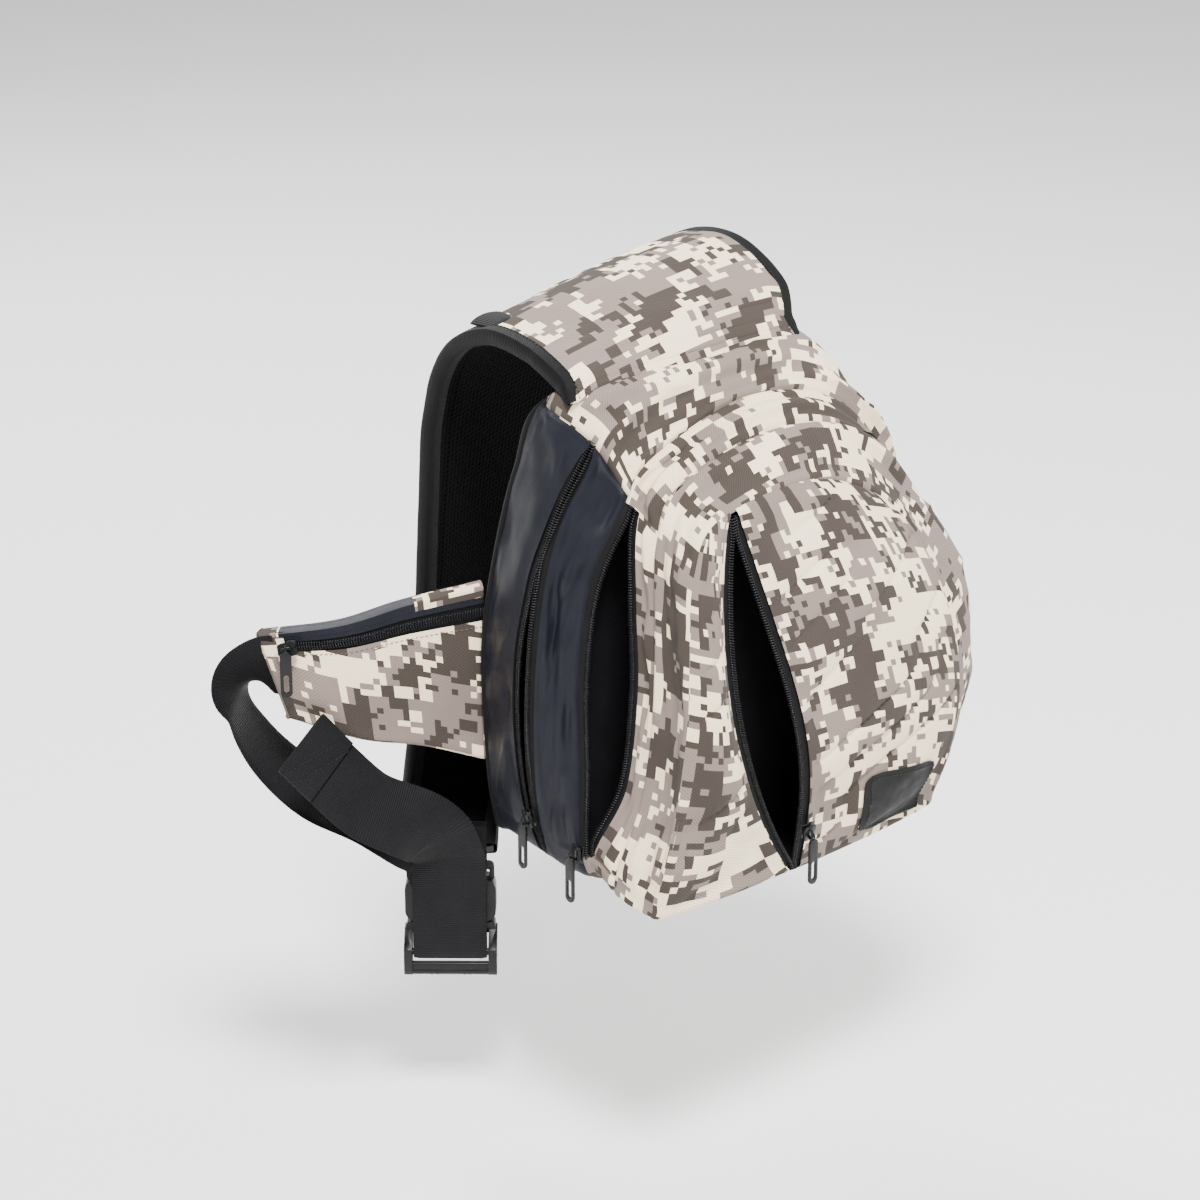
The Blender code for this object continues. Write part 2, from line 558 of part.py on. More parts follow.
def make_wing():
    reach = (0.05, 2.95)
    wing_layer("wing_pocket_panel", reach, (0.02, WING_ZIP_AT - 0.045), 0.0, 0.12, 4, 10, "camo_fabric")
    wing_layer("wing_top_band", reach, (WING_ZIP_AT + 0.045, 1.0), 0.0, 0.12, 1, 10, "black_nylon")
    wing_layer("wing_foam", reach, (0.03, 0.97), 0.75, 1.3, 3, 10, "foam")
    wing_layer("wing_back_lining", reach, (0.02, 1.0), 1.34, 1.46, 3, 10, "air_mesh")
    for name, rise in (("wing_zip_lower_half", -0.13), ("wing_zip_upper_half", 0.13)):
        spots = [wing_point(s, WING_ZIP_AT, 0.1) + Vector((0, 0, rise)) for s in steps(0.2, 2.78, 12)]
        ribbon(name, [(spot, (0, 0, 1)) for spot in spots], "zip_chain", 0.2, 0.2)


def buckle_axes():
    return (BUCKLE_WIDE, BUCKLE_FACE, Vector((0, 0, 1)))


def at_buckle(wide, face, up):
    """A point given along the buckle's width, out of its face and up."""
    return BUCKLE + BUCKLE_WIDE * wide + BUCKLE_FACE * face + Vector((0, 0, up))


def buckle_box(name, low, high, bevel=0.0):
    return box_object(name, low, high, buckle_axes(), BUCKLE, "black_plastic", bevel)


def make_buckle():
    """Side-release buckle: the housing hangs on the strap, the tongue carries the belt's adjuster."""
    housing = buckle_box("buckle_housing", (-3.05, -0.72, -4.65), (3.05, 0.72, -1.55), 0.16)
    boolean(housing, (buckle_box("housing_loop", (-2.95, -0.17, -1.8), (2.95, 0.17, -0.55)),), "UNION")
    hollows = (buckle_box("housing_cavity", (-2.62, -0.42, -4.9), (2.62, 0.42, -1.95)),
               buckle_box("housing_slot", (-2.62, -1.0, -1.5), (2.62, 1.0, -1.0)),
               buckle_box("housing_windows", (-3.4, -0.3, -3.7), (3.4, 0.3, -2.5)))
    boolean(housing, hollows, "DIFFERENCE")

    tongue = buckle_box("buckle_tongue", (-3.0, -0.5, -5.5), (3.0, 0.62, -4.72), 0.1)
    extras = [buckle_box("tongue_guide", (-0.45, -0.25, -4.9), (0.45, 0.25, -2.0))]
    for side in (-1, 1):
        inner, outer = sorted((side * 2.66, side * 3.02))
        extras.append(buckle_box(f"tongue_rail_{side}", (inner, -0.3, -8.15), (outer, 1.85, -5.3)))
    for name, low, high in (("middle", -6.75, -6.25), ("lower", -8.15, -7.6)):
        extras.append(buckle_box(f"tongue_bar_{name}", (-2.8, 1.2, low), (2.8, 1.7, high)))
    boolean(tongue, extras, "UNION")

    outline = ((1.85, -4.68), (2.2, -4.68), (2.25, -3.6), (2.56, -3.45), (2.5, -2.6), (2.1, -2.05),
               (1.95, -2.05))
    for name, side in (("buckle_prong_left", -1), ("buckle_prong_right", 1)):
        bm = bmesh.new()
        front = [bm.verts.new(at_buckle(side * w, 0.33, h)) for w, h in outline]
        back = [bm.verts.new(at_buckle(side * w, -0.33, h)) for w, h in outline]
        bm.faces.new(front)
        bm.faces.new(back[::-1])
        for k in range(len(outline)):
            n = (k + 1) % len(outline)
            bm.faces.new((front[k], back[k], back[n], front[n]))
        add_object(name, bm, "black_plastic", at_buckle(side * 2.02, 0, -4.68))


def arc_about(face, up, radius, tall, count):
    """Points half round a bar of the adjuster, under it from back to front."""
    turns = [math.pi * k / count for k in range(count + 1)]
    return [at_buckle(0, face - radius * math.cos(turn), up - tall * math.sin(turn)) for turn in turns]


def make_belt():
    """One length of webbing: wing tip, under the adjuster bar, up in front and back as a free tail."""
    bar_face, radius = 1.45, 0.49
    down = [at_buckle(0, bar_face - radius, z) for z in (-2.0, -4.0, -5.9)]
    up = [at_buckle(0, bar_face + radius, z) for z in (-5.0, -2.8, -1.0, 0.6)]
    middle = [(point, BUCKLE_WIDE) for point in down + arc_about(bar_face, -6.5, radius, radius, 4) + up]
    ribbon("belt_webbing", smooth_stations(BELT, 20) + middle + smooth_stations(TAIL, 10), "webbing")

    loop = [at_buckle(0, -0.3, -0.45)] + arc_about(0, -0.78, 0.3, 0.42, 6) + [at_buckle(0, 0.3, -0.45)]
    ribbon("strap_end_webbing", [(point, BUCKLE_WIDE) for point in loop], "webbing", thickness=0.14)


def main():
    clear_scene()
    make_bag()
    make_front_face()
    make_zip_chains()
    make_strap()
    make_wing()
    make_buckle()
    make_belt()
    make_slider("main", (0, 1, 0))
    make_slider("middle", (0, 1, 0))
    make_slider("front", (-1, 0, 0))
    make_slider("wing", (-0.8, 0.6, 0))


main()
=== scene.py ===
"""The looks of the sling tackle backpack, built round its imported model.

Lengths are in centimetres in bag coordinates (X right seen from the front, Y towards the wearer, Z up, the
base at Z = 0), the ones the model is drawn in; world() turns them into metres about the shoulder seat.
"""
import itertools
import math

import bmesh
import bpy
import numpy as np
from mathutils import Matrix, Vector

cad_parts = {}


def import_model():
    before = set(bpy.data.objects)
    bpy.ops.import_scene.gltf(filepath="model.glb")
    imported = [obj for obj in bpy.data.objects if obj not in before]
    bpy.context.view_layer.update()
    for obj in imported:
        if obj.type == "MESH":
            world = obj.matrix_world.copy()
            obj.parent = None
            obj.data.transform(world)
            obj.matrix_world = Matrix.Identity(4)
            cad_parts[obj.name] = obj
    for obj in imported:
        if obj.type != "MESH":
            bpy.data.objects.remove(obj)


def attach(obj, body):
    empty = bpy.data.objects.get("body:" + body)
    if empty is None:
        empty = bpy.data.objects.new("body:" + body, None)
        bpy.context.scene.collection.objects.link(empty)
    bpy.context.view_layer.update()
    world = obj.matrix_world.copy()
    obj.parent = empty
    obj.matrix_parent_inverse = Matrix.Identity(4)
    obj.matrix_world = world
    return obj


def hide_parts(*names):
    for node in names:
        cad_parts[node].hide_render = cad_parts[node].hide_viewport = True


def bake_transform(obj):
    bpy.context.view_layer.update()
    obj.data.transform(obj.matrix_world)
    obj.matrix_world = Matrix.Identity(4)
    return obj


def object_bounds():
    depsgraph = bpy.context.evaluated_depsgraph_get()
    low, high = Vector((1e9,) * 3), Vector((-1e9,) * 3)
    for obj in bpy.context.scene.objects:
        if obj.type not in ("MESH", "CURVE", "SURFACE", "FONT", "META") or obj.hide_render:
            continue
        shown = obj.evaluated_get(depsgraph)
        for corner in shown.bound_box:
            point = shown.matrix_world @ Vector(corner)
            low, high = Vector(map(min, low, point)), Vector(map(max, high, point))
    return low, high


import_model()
CAD_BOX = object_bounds()

CM = 0.01
SEAT = np.array((-0.5, 17.9, 35.6))
BACKWARD = np.array((0, 1.0, 0))  # towards the wearer

# Outlines of the bag, front view, each starting at the lower left corner and running up the left side,
# over the top, down the right side and back along the base.
BACK = [(-11.2, 17.4, 2.2), (-11.8, 17.4, 8), (-11.9, 17.4, 14), (-11.5, 16.6, 20), (-11.2, 14.9, 26),
        (-10.6, 12.6, 30.9), (-0.7, 12.2, 31.7), (9.3, 12.6, 31.2), (10.2, 14.9, 26), (10.6, 16.6, 20),
        (10.9, 17.4, 14), (10.8, 17.4, 8), (10.2, 17.4, 2.2), (8.4, 17.4, 0.2), (-1, 17.4, 0),
        (-9.6, 17.4, 0.2)]
MOUTH = [(-12.9, 11.3, 3.0), (-13.9, 11.3, 8.5), (-13.8, 11.3, 14.5), (-12.9, 11.1, 20), (-11.6, 11, 26.5),
         (-10.7, 10.9, 31.6), (-0.7, 10.9, 32.1), (9.3, 10.9, 32.1), (12.4, 11, 27), (14.4, 11, 20.5),
         (14.8, 11, 14), (14.2, 11, 8), (12.6, 11, 2), (10.2, 11, 0.2), (-0.5, 11, 0), (-10.6, 11.2, 0.3)]
CREST = [(-12.9, 9.3, 2.6), (-13.3, 9.6, 8), (-13.2, 9.7, 14), (-12.3, 9.8, 20), (-10.4, 9.4, 25.8),
         (-7.6, 8.9, 30.2), (1.0, 9.0, 31.8), (9.6, 9.0, 30.8), (14.3, 8.6, 25.8), (16.6, 8.0, 19.1),
         (16.6, 7.8, 13), (16.0, 7.8, 7.5), (14.2, 8.2, 2.1), (11.6, 8.8, 0.1), (0, 9.2, 0),
         (-10.8, 9.3, 0.3)]
FOLD_BACK = [(-12.6, 7.4, 2.6), (-12.2, 7.9, 8), (-12.0, 8.2, 14), (-11.2, 8.0, 20), (-9.2, 7.2, 24.8),
             (-6.6, 7.2, 27.6), (2.2, 7.6, 29.8), (9.8, 7.2, 28.2), (14.2, 6.6, 23.4), (16.2, 5.8, 18),
             (16.7, 5.4, 12), (16.3, 5.4, 7), (14.5, 5.8, 2), (11.9, 6.4, 0.1), (0.3, 7.2, 0),
             (-10.6, 7.1, 0.3)]
FOLD_FRONT = [(-12.3, 6.2, 2.7), (-10.6, 5.3, 7.0), (-9.9, 5.1, 13.5), (-9.8, 5.3, 19.0), (-8.8, 6.1, 24.2),
              (-6.2, 6.4, 26.7), (2.5, 6.5, 28.7), (9.5, 6.0, 27.1), (13.6, 5.4, 22.7), (15.7, 4.6, 17.5),
              (16.2, 4.2, 12), (15.9, 4.2, 7), (14.4, 4.7, 2), (11.8, 5.4, 0.2), (0.5, 6, 0),
              (-10.4, 6.2, 0.4)]
SHOULDER = [(-12.5, 3, 1.6), (-11.2, 2.6, 7), (-10.3, 2.5, 13.3), (-9.9, 2.8, 18.6), (-9.0, 3.4, 23),
            (-6.3, 4.2, 26.1), (2.2, 4.6, 27.6), (8.8, 4.2, 26.4), (13.5, 3.5, 22.1), (16.7, 2.3, 16.6),
            (17.6, 1.7, 11), (17.2, 1.7, 6.3), (15.0, 2.2, 1.8), (12, 2.6, 0.2), (0, 3, 0),
            (-11.3, 3, 0.2)]
FACE_EDGE = [(-12.5, 0.2, 1.2), (-11.6, -0.4, 7), (-10.6, -0.4, 13), (-9.9, 0.2, 18), (-9.0, 0.9, 22),
             (-6.2, 1.6, 24.8), (2, 2.2, 25.4), (7.6, 2.0, 23.6), (11.2, 1.3, 20.4), (13.3, 0.1, 15.6),
             (14.1, -0.7, 10.5), (13.9, -0.7, 6), (13.0, 0, 1.8), (11.3, 0.3, 0.3), (-0.5, 0, 0),
             (-11.1, 0.2, 0.1)]
STATIONS = [BACK, MOUTH, CREST, FOLD_BACK, FOLD_FRONT, SHOULDER, FACE_EDGE]
RING = len(BACK)  # points round each outline
BAG_CENTRE_X, BAG_CENTRE_Z = 1.0, 13.5
# The padded back is flat up to this height, and leans forward above it.
BACK_Y, BACK_FLAT_TOP = 17.4, 13.0
SHELL_THICK = 0.1

# Side mouths: where along the outline each one starts and ends, and how far its lips gape.
MAIN_MOUTH = (-0.85, 4.5)
MIDDLE_MOUTH = (-0.1, 4.12)
MAIN_GAPE_BACK, MAIN_GAPE_FRONT = 0.24, 0.42

# Where along the outline the front zip's foot and head meet it.
FACE_FOOT, FACE_HEAD = 14.0, 5.2

# The two long edges of the shoulder strap, from inside the bag's top over the arch to the buckle.
STRAP_LEFT = [(-10.9, 10.0, 31.3), (-10.9, 10.9, 32.7), (-10.9, 14, 34.0), (-10.6, 18.5, 34.2),
              (-10.3, 22.8, 32.1), (-10.2, 25.0, 27.8), (-10.3, 25.7, 21), (-10.6, 25.8, 14),
              (-11.7, 25.4, 6.7), (-13.6, 24.0, 1.4), (-14.83, 22.36, -2.0)]
STRAP_RIGHT = [(9.2, 10.0, 31.9), (9.4, 10.9, 33.0), (10.1, 12.7, 35.3), (9.8, 17.1, 37.4),
               (9.5, 22.2, 36.3), (9.2, 26, 31.5), (7.5, 27.6, 23.5), (4, 27.5, 14.5),
               (-0.5, 26.0, 6.5), (-6.5, 22.1, 0.9), (-10.43, 18.26, -2.0)]
STRAP_CROWN = 0.45

# The upper and the lower edge of the hip wing, from its root in the bag to its tip.
WING_TOP = [(-11.7, 17.6, 17.5), (-15.9, 20.1, 16.6), (-19.6, 22.4, 15.5), (-23.2, 26.4, 14.6)]
WING_BOTTOM = [(-11.7, 17.6, 5.6), (-15.2, 19.7, 6.9), (-18.9, 21.7, 7.8), (-22.3, 24.6, 9.3)]
WING_ZIP_AT = 0.86

# The middle of the strap's lower end, and the buckle's directions across its width and out of its face.
BUCKLE = np.array((-12.63, 20.31, -2.0))
BUCKLE_WIDE = np.array((0.731, -0.682, 0.0))
BUCKLE_FACE = np.array((-0.682, -0.731, 0.0))

# The belt's webbing as places and width directions: from the wing to the buckle, then its loose tail.
BELT = [((-21.9, 25.8, 12.5), (0.36, 0.07, -0.93)), ((-22.5, 26.6, 12.3), (0.36, 0.07, -0.93)),
        ((-23.3, 27.6, 11.8), (0.53, 0.24, -0.81)), ((-23.7, 28.3, 10.8), (0.74, 0.36, -0.57)),
        ((-23.6, 28.5, 9.4), (0.78, 0.49, -0.38)), ((-23.1, 27.9, 7.6), (0.88, 0.45, -0.14)),
        ((-22.0, 26.7, 5.4), (0.90, 0.43, 0.09)), ((-20.0, 24.9, 3.0), (0.92, 0.35, 0.18)),
        ((-17.3, 22.4, 1.4), (0.95, 0.10, 0.23)), ((-14.2, 19.95, -0.6), (0.80, -0.57, 0.15))]
TAIL = [((-15.2, 18.4, 0.6), (0.93, -0.36, 0.09)), ((-16.3, 18.6, 1.6), (0.97, -0.17, 0.18)),
        ((-17.7, 19.0, 2.5), (0.97, -0.03, 0.24)), ((-19.7, 19.9, 3.8), (0.97, 0.01, 0.23)),
        ((-21.4, 20.8, 5.8), (0.97, 0.01, 0.23)), ((-23.4, 22.1, 8.6), (0.97, -0.02, 0.22))]

# Slider paths: where each slider starts, a middle point and where its travel ends.
SLIDER_PATHS = {
    "main": ((-13.55, 11.15, 4.0), (-14.55, 11.2, 11.5), (-13.6, 11.0, 19.5)),
    "middle": ((-13.35, 6.75, 2.9), (-12.75, 6.9, 12.0), (-11.75, 6.9, 20.5)),
    "front": ((-1.0, -1.5, 3.4), (-3.2, -2.85, 12.8), (-4.9, -0.6, 22.6)),
    "wing": ((-22.45, 24.4, 14.1), (-18.0, 20.45, 15.35), (-13.3, 17.6, 16.1)),
}


def world(points):
    """Bag centimetres to metres about the shoulder seat."""
    return (np.asarray(points, float) - SEAT) * CM


def weights(f):
    """How much the four points round a place on a smooth curve count there."""
    return 0.5 * np.stack([-f + 2 * f**2 - f**3, 2 - 5 * f**2 + 3 * f**3, f + 4 * f**2 - 3 * f**3,
                           -f**2 + f**3], -1)


def spline(points, t, closed=False):
    """A smooth curve through the points, t = 0 at the first and 1 more at each next one."""
    points, t = np.asarray(points, float), np.asarray(t, float)
    count = len(points)
    if closed:
        start = np.floor(t).astype(int)
        index = (start[..., None] + np.arange(-1, 3)) % count
    else:
        t = np.clip(t, 0, count - 1)
        start = np.minimum(np.floor(t).astype(int), count - 2)
        points = np.concatenate([2 * points[:1] - points[1:2], points, 2 * points[-1:] - points[-2:-1]])
        index = start[..., None] + np.arange(4)
    return (weights(t - start)[..., None] * points[index]).sum(-2)


STATION_GRID = np.array(STATIONS, float)
STATION_GRID = np.concatenate([2 * STATION_GRID[:1] - STATION_GRID[1:2], STATION_GRID,
                               2 * STATION_GRID[-1:] - STATION_GRID[-2:-1]])


def skin(v, t):
    """The bag's plain outer surface: v = 0 at the back edge to 6 at the front face, t round the outline."""
    v, t = np.broadcast_arrays(np.clip(v, 0, len(STATIONS) - 1), np.asarray(t, float))
    row = np.minimum(np.floor(v).astype(int), len(STATIONS) - 2)
    start = np.floor(t).astype(int)
    rows = row[..., None] + np.arange(4)
    cols = (start[..., None] + np.arange(-1, 3)) % RING
    near = STATION_GRID[rows[..., :, None], cols[..., None, :]]
    return np.einsum("...a,...b,...abc->...c", weights(v - row), weights(t - start), near)


def unit(vectors):
    return vectors / np.maximum(np.linalg.norm(vectors, axis=-1, keepdims=True), 1e-9)


def skin_normal(v, t):
    step = 0.02
    v = np.asarray(v, float)
    along_v = skin(v + step, t) - skin(v - step, t)
    along_t = skin(v, np.asarray(t) + step) - skin(v, np.asarray(t) - step)
    normal = unit(np.cross(along_v, along_t))
    outward = skin(v, t) - np.array((BAG_CENTRE_X, 0, BAG_CENTRE_Z))
    outward[..., 1] = 0
    return normal * np.sign((normal * outward).sum(-1, keepdims=True) + 1e-9)


def between(first, last, f):
    """The points a fraction f of the way from the first ones to the last ones."""
    return first * (1 - f[..., None]) + last * f[..., None]


def grid(down, rows, across, cols):
    """Two grids of numbers, the first running down the rows and the second across the columns."""
    return np.meshgrid(np.linspace(*down, rows), np.linspace(*across, cols), indexing="ij")


def noise(points, seed):
    """Smooth noise from -1 to 1; points may be a list of coordinates."""
    points = np.stack(points, -1) if isinstance(points, list) else points
    cell = np.floor(points).astype(np.int64)
    f = points - cell
    f = f * f * f * (f * (6 * f - 15) + 10)
    total = np.zeros(points.shape[:-1])
    for corner in itertools.product((0, 1), repeat=points.shape[-1]):
        spot = cell + np.array(corner)
        mixed = np.full(spot.shape[:-1], seed * 7919 + 17, np.int64)
        for axis in range(points.shape[-1]):
            mixed = ((mixed ^ (spot[..., axis] * 73856093 + 9973 * axis)) * 19349663) & 0xFFFFFFF
            mixed ^= mixed >> 13
        share = np.prod(np.where(np.array(corner), f, 1 - f), -1)
        total += share * ((mixed & 0xFFFF) / 32767.5 - 1)
    return total


def grid_normals(points, backward=0):
    """Unit normals of a grid of points; backward = 1 or -1 turns them to the wearer or to the front."""
    normals = unit(np.cross(np.gradient(points, axis=0), np.gradient(points, axis=1)))
    return normals * backward * np.sign(normals[..., 1:2] + 1e-9) if backward else normals


def lengths(points, axis):
    """Distance along one direction of a grid of points, from its start."""
    steps = np.linalg.norm(np.diff(points, axis=axis), axis=-1)
    first = np.zeros_like(np.take(steps, [0], axis=axis))
    return np.concatenate([first, np.cumsum(steps, axis=axis)], axis=axis)


def run_along(path):
    """Distance along a path of points, from its start."""
    return lengths(path[:, None], 0)[:, 0]


def interpolate(at, run, tracks):
    return np.stack([np.interp(at, run, tracks[:, k]) for k in range(3)], -1)


def fade(x):
    x = np.clip(x, 0, 1)
    return x * x * (3 - 2 * x)


# ---------------------------------------------------------------- meshes

def add_mesh(name, points, faces, finishes, face_finish=None, uvs=None, sharp=45):
    """A mesh object from points in bag centimetres; uvs, one a point, are centimetres on the cloth."""
    mesh = bpy.data.meshes.new(name)
    mesh.from_pydata(world(points).tolist(), [], [tuple(face) for face in faces])
    for finish in finishes:
        mesh.materials.append(FINISH[finish])
    if face_finish is not None:
        mesh.polygons.foreach_set("material_index", np.asarray(face_finish, np.int32))
    if uvs is not None:
        layer = mesh.uv_layers.new(name="UVMap")
        corner = np.zeros(len(mesh.loops), np.int32)
        mesh.loops.foreach_get("vertex_index", corner)
        layer.data.foreach_set("uv", np.asarray(uvs, np.float32)[corner].ravel())
    turn_outward(mesh)
    mesh.shade_smooth()
    mesh.set_sharp_from_angle(angle=math.radians(sharp))
    return new_object(name, mesh)


def new_object(name, data):
    made = bpy.data.objects.new(name, data)
    bpy.context.collection.objects.link(made)
    return made


def turn_outward(mesh):
    bm = bmesh.new()
    bm.from_mesh(mesh)
    bmesh.ops.recalc_face_normals(bm, faces=bm.faces[:])
    bm.to_mesh(mesh)
    bm.free()


def settle(piece, body, slot, *nodes):
    """Says what a finished piece rides on and the CAD nodes it stands for; slot, its record finish, is not
    used.
    """
    if body:
        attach(piece, body)
    if nodes:
        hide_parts(*nodes)
    return piece


def grid_faces(rows, cols, start=0):
    index = start + np.arange(rows * cols).reshape(rows, cols)
    return np.stack([index[:-1, :-1], index[:-1, 1:], index[1:, 1:], index[1:, :-1]], -1).reshape(-1, 4)


def tube_faces(rows, cols, closed=False):
    """The faces of a tube from rings of points, with an end face at each end unless it is closed."""
    index = np.arange(rows * cols).reshape(rows, cols)
    low, high = (index, np.roll(index, -1, 0)) if closed else (index[:-1], index[1:])
    faces = np.stack([low, np.roll(low, -1, 1), np.roll(high, -1, 1), high], -1).reshape(-1, 4)
    ends = [] if closed else [tuple(index[0][::-1]), tuple(index[-1])]
    return [tuple(face) for face in faces] + ends


def like(vector, points):
    """One vector for each of the points."""
    return np.broadcast_to(np.asarray(vector, float), np.shape(points))


def cloth(name, outer, thickness, finishes, normals=None, shift=(0, 0), flat=None, faced=None):
    """A closed sheet under a grid of points: finishes are its outer and its inner face.

    The print is laid out on flat, the sheet without its folds. faced picks the outer finish, face by face.
    """
    rows, cols = outer.shape[:2]
    if normals is None:
        normals = grid_normals(outer)
    inner = outer - normals * thickness
    count = rows * cols
    index = np.arange(count).reshape(rows, cols)
    edge = np.concatenate([index[0, :-1], index[:-1, -1], index[-1, :0:-1], index[:0:-1, 0]])
    after = np.roll(edge, -1)
    rim = np.stack([edge, after, after + count, edge + count], -1)
    faces = np.concatenate([grid_faces(rows, cols), grid_faces(rows, cols, count)[:, ::-1], rim])
    laid = outer if flat is None else flat
    along = lengths(laid, 1).mean(0, keepdims=True)
    u = np.broadcast_to(along - along[:, cols // 2:cols // 2 + 1], (rows, cols))
    down = lengths(laid, 0)
    w = down - down[rows // 2:rows // 2 + 1]
    uv = np.stack([u + shift[0], w + shift[1]], -1).reshape(-1, 2)
    quads = (rows - 1) * (cols - 1)
    shared = [0] * quads + [len(finishes) - 1] * (quads + len(rim))
    if faced is not None:
        shared[:quads] = [int(k) for k in faced[:-1, :-1].ravel()]
    return add_mesh(name, np.concatenate([outer.reshape(-1, 3), inner.reshape(-1, 3)]), faces, finishes,
                    shared, np.concatenate([uv, uv]))


def sweep(name, centres, wides, section, finish, closed=False, sharp=45):
    """A bar, band or tube: a section of (across, up) points carried along centres."""
    centres, wides = np.asarray(centres, float), np.asarray(wides, float)
    if closed:
        ahead = unit(np.roll(centres, -1, 0) - np.roll(centres, 1, 0))
    else:
        ahead = unit(np.gradient(centres, axis=0))
    side = unit(wides - ahead * (wides * ahead).sum(-1, keepdims=True))
    up = np.cross(ahead, side)
    section = np.asarray(section, float)
    if section.ndim == 2:
        section = np.broadcast_to(section, (len(centres),) + section.shape)
    points = (centres[:, None] + side[:, None] * section[..., :1] + up[:, None] * section[..., 1:2])
    faces = tube_faces(*points.shape[:2], closed)
    run = run_along(centres)
    uv = np.stack([section[..., 0], np.broadcast_to(run[:, None], section.shape[:2])], -1).reshape(-1, 2)
    return add_mesh(name, points.reshape(-1, 3), faces, [finish], uvs=uv, sharp=sharp)


def circle(radius, sides, squash=1.0):
    turn = 2 * np.pi * np.arange(sides) / sides
    return np.stack([radius * np.cos(turn), radius * squash * np.sin(turn)], -1)


def band_section(width, thickness, count=12):
    """A flat band with rounded edges."""
    across = np.linspace(-1, 1, count)
    half = thickness / 2 * np.sqrt(np.clip(1 - np.abs(across) ** 24, 0.05, 1))
    top = np.stack([across * width / 2, half], -1)
    return np.concatenate([top, top[::-1] * (1, -1)])


def resample(path, count):
    run = run_along(path)
    return interpolate(np.linspace(0, run[-1], count), run, path), run[-1]


def join(name, made):
    """Several mesh objects as one."""
    bm = bmesh.new()
    finishes = []
    for item in made:
        part = item.data
        start = len(bm.faces)
        bm.from_mesh(part)
        bm.faces.ensure_lookup_table()
        own = [finishes.index(m) if m in finishes else finishes.append(m) or len(finishes) - 1
               for m in part.materials]
        for face in bm.faces[start:]:
            face.material_index = own[face.material_index]
        bpy.data.objects.remove(item, do_unlink=True)
    mesh = bpy.data.meshes.new(name)
    bm.to_mesh(mesh)
    bm.free()
    for finish in finishes:
        mesh.materials.append(finish)
    return new_object(name, mesh)


def spread(vectors, count):
    """Vectors along a path, spread over this many points."""
    return interpolate(np.linspace(0, len(vectors) - 1, count), np.arange(len(vectors)), vectors)


STITCH_PITCH, STITCH_LENGTH, STITCH_RADIUS, STITCH_SIDES = 0.33, 0.22, 0.028, 6
PATH_STEPS = 2000


def stitches(name, path, normals, finish):
    """A row of thread stitches lying on a surface along a path."""
    path, total = resample(np.asarray(path, float), PATH_STEPS)
    normals = np.asarray(normals, float)
    normals = spread(normals, PATH_STEPS) if normals.ndim == 2 else like(normals, path)
    points, faces = [], []
    sides, radius = STITCH_SIDES, STITCH_RADIUS
    for k in range(int(total / STITCH_PITCH)):
        middle = int((k + 0.5) * STITCH_PITCH / total * (PATH_STEPS - 1))
        ahead = unit(path[min(middle + 3, PATH_STEPS - 1)] - path[max(middle - 3, 0)])
        up = unit(normals[middle])
        side = np.cross(ahead, up)
        start = len(points)
        for along, size, rise in ((-0.5, 0.35, -0.6), (-0.3, 1.0, 0.4), (0.3, 1.0, 0.4), (0.5, 0.35, -0.6)):
            for across, lift in circle(radius * size, sides):
                points.append(path[middle] + ahead * along * STITCH_LENGTH + side * across
                              + up * (lift + radius * rise))
        for ring in range(3):
            for n in range(sides):
                a = start + ring * sides + n
                b = start + ring * sides + (n + 1) % sides
                faces.append((a, b, b + sides, a + sides))
        faces.append(tuple(start + n for n in range(sides))[::-1])
        faces.append(tuple(start + 3 * sides + n for n in range(sides)))
    return add_mesh(name, points, faces, [finish], sharp=80)


COIL_RADIUS, COIL_PITCH, COIL_WIRE = 0.15, 0.17, 0.045
COIL_STEPS, COIL_POINTS_A_TURN = 600, 9


def coil(path, sideways, normals):
    """Half of a coil zip: a helix of monofilament along a path."""
    dense, total = resample(path, COIL_STEPS)
    side, up = unit(spread(sideways, COIL_STEPS)), unit(spread(normals, COIL_STEPS))
    count = int(total / COIL_PITCH) * COIL_POINTS_A_TURN
    turn = 2 * np.pi * np.arange(count) / COIL_POINTS_A_TURN
    spot = np.linspace(0, COIL_STEPS - 1, count)
    low = np.floor(spot).astype(int).clip(0, COIL_STEPS - 2)
    f = (spot - low)[:, None]
    middle = dense[low] * (1 - f) + dense[low + 1] * f
    helix = (middle + side[low] * (COIL_RADIUS * np.cos(turn))[:, None]
             + up[low] * (COIL_RADIUS * 0.85 * np.sin(turn))[:, None])
    return sweep("coil", helix, side[low] * 0.3 + up[low] + 0.01, circle(COIL_WIRE, 5), "coil", sharp=80)


# ---------------------------------------------------------------- materials

def add(tree, kind, inputs=None, **settings):
    """One shader node; its inputs are values or other nodes' outputs."""
    node = tree.nodes.new(kind)
    for key, value in settings.items():
        setattr(node, key, value)
    for key, value in (inputs or {}).items():
        if isinstance(value, bpy.types.NodeSocket):
            tree.links.new(value, node.inputs[key])
        else:
            node.inputs[key].default_value = value
    return node


def new_material(name, roughness, **shader_inputs):
    made = bpy.data.materials.new(name)
    made.use_nodes = True
    tree = made.node_tree
    shader = tree.nodes["Principled BSDF"]
    shader.inputs["Roughness"].default_value = roughness
    for key, value in shader_inputs.items():
        shader.inputs[key.replace("_", " ")].default_value = value
    return made, tree, shader


def mix(tree, factor, first, second):
    return add(tree, "ShaderNodeMix", {0: factor, 6: first, 7: second}, data_type="RGBA").outputs[2]


def math_node(tree, operation, *values):
    return add(tree, "ShaderNodeMath", dict(enumerate(values)), operation=operation).outputs[0]


def cloth_place(tree):
    """Centimetres on the cloth."""
    return add(tree, "ShaderNodeUVMap", uv_map="UVMap").outputs[0]


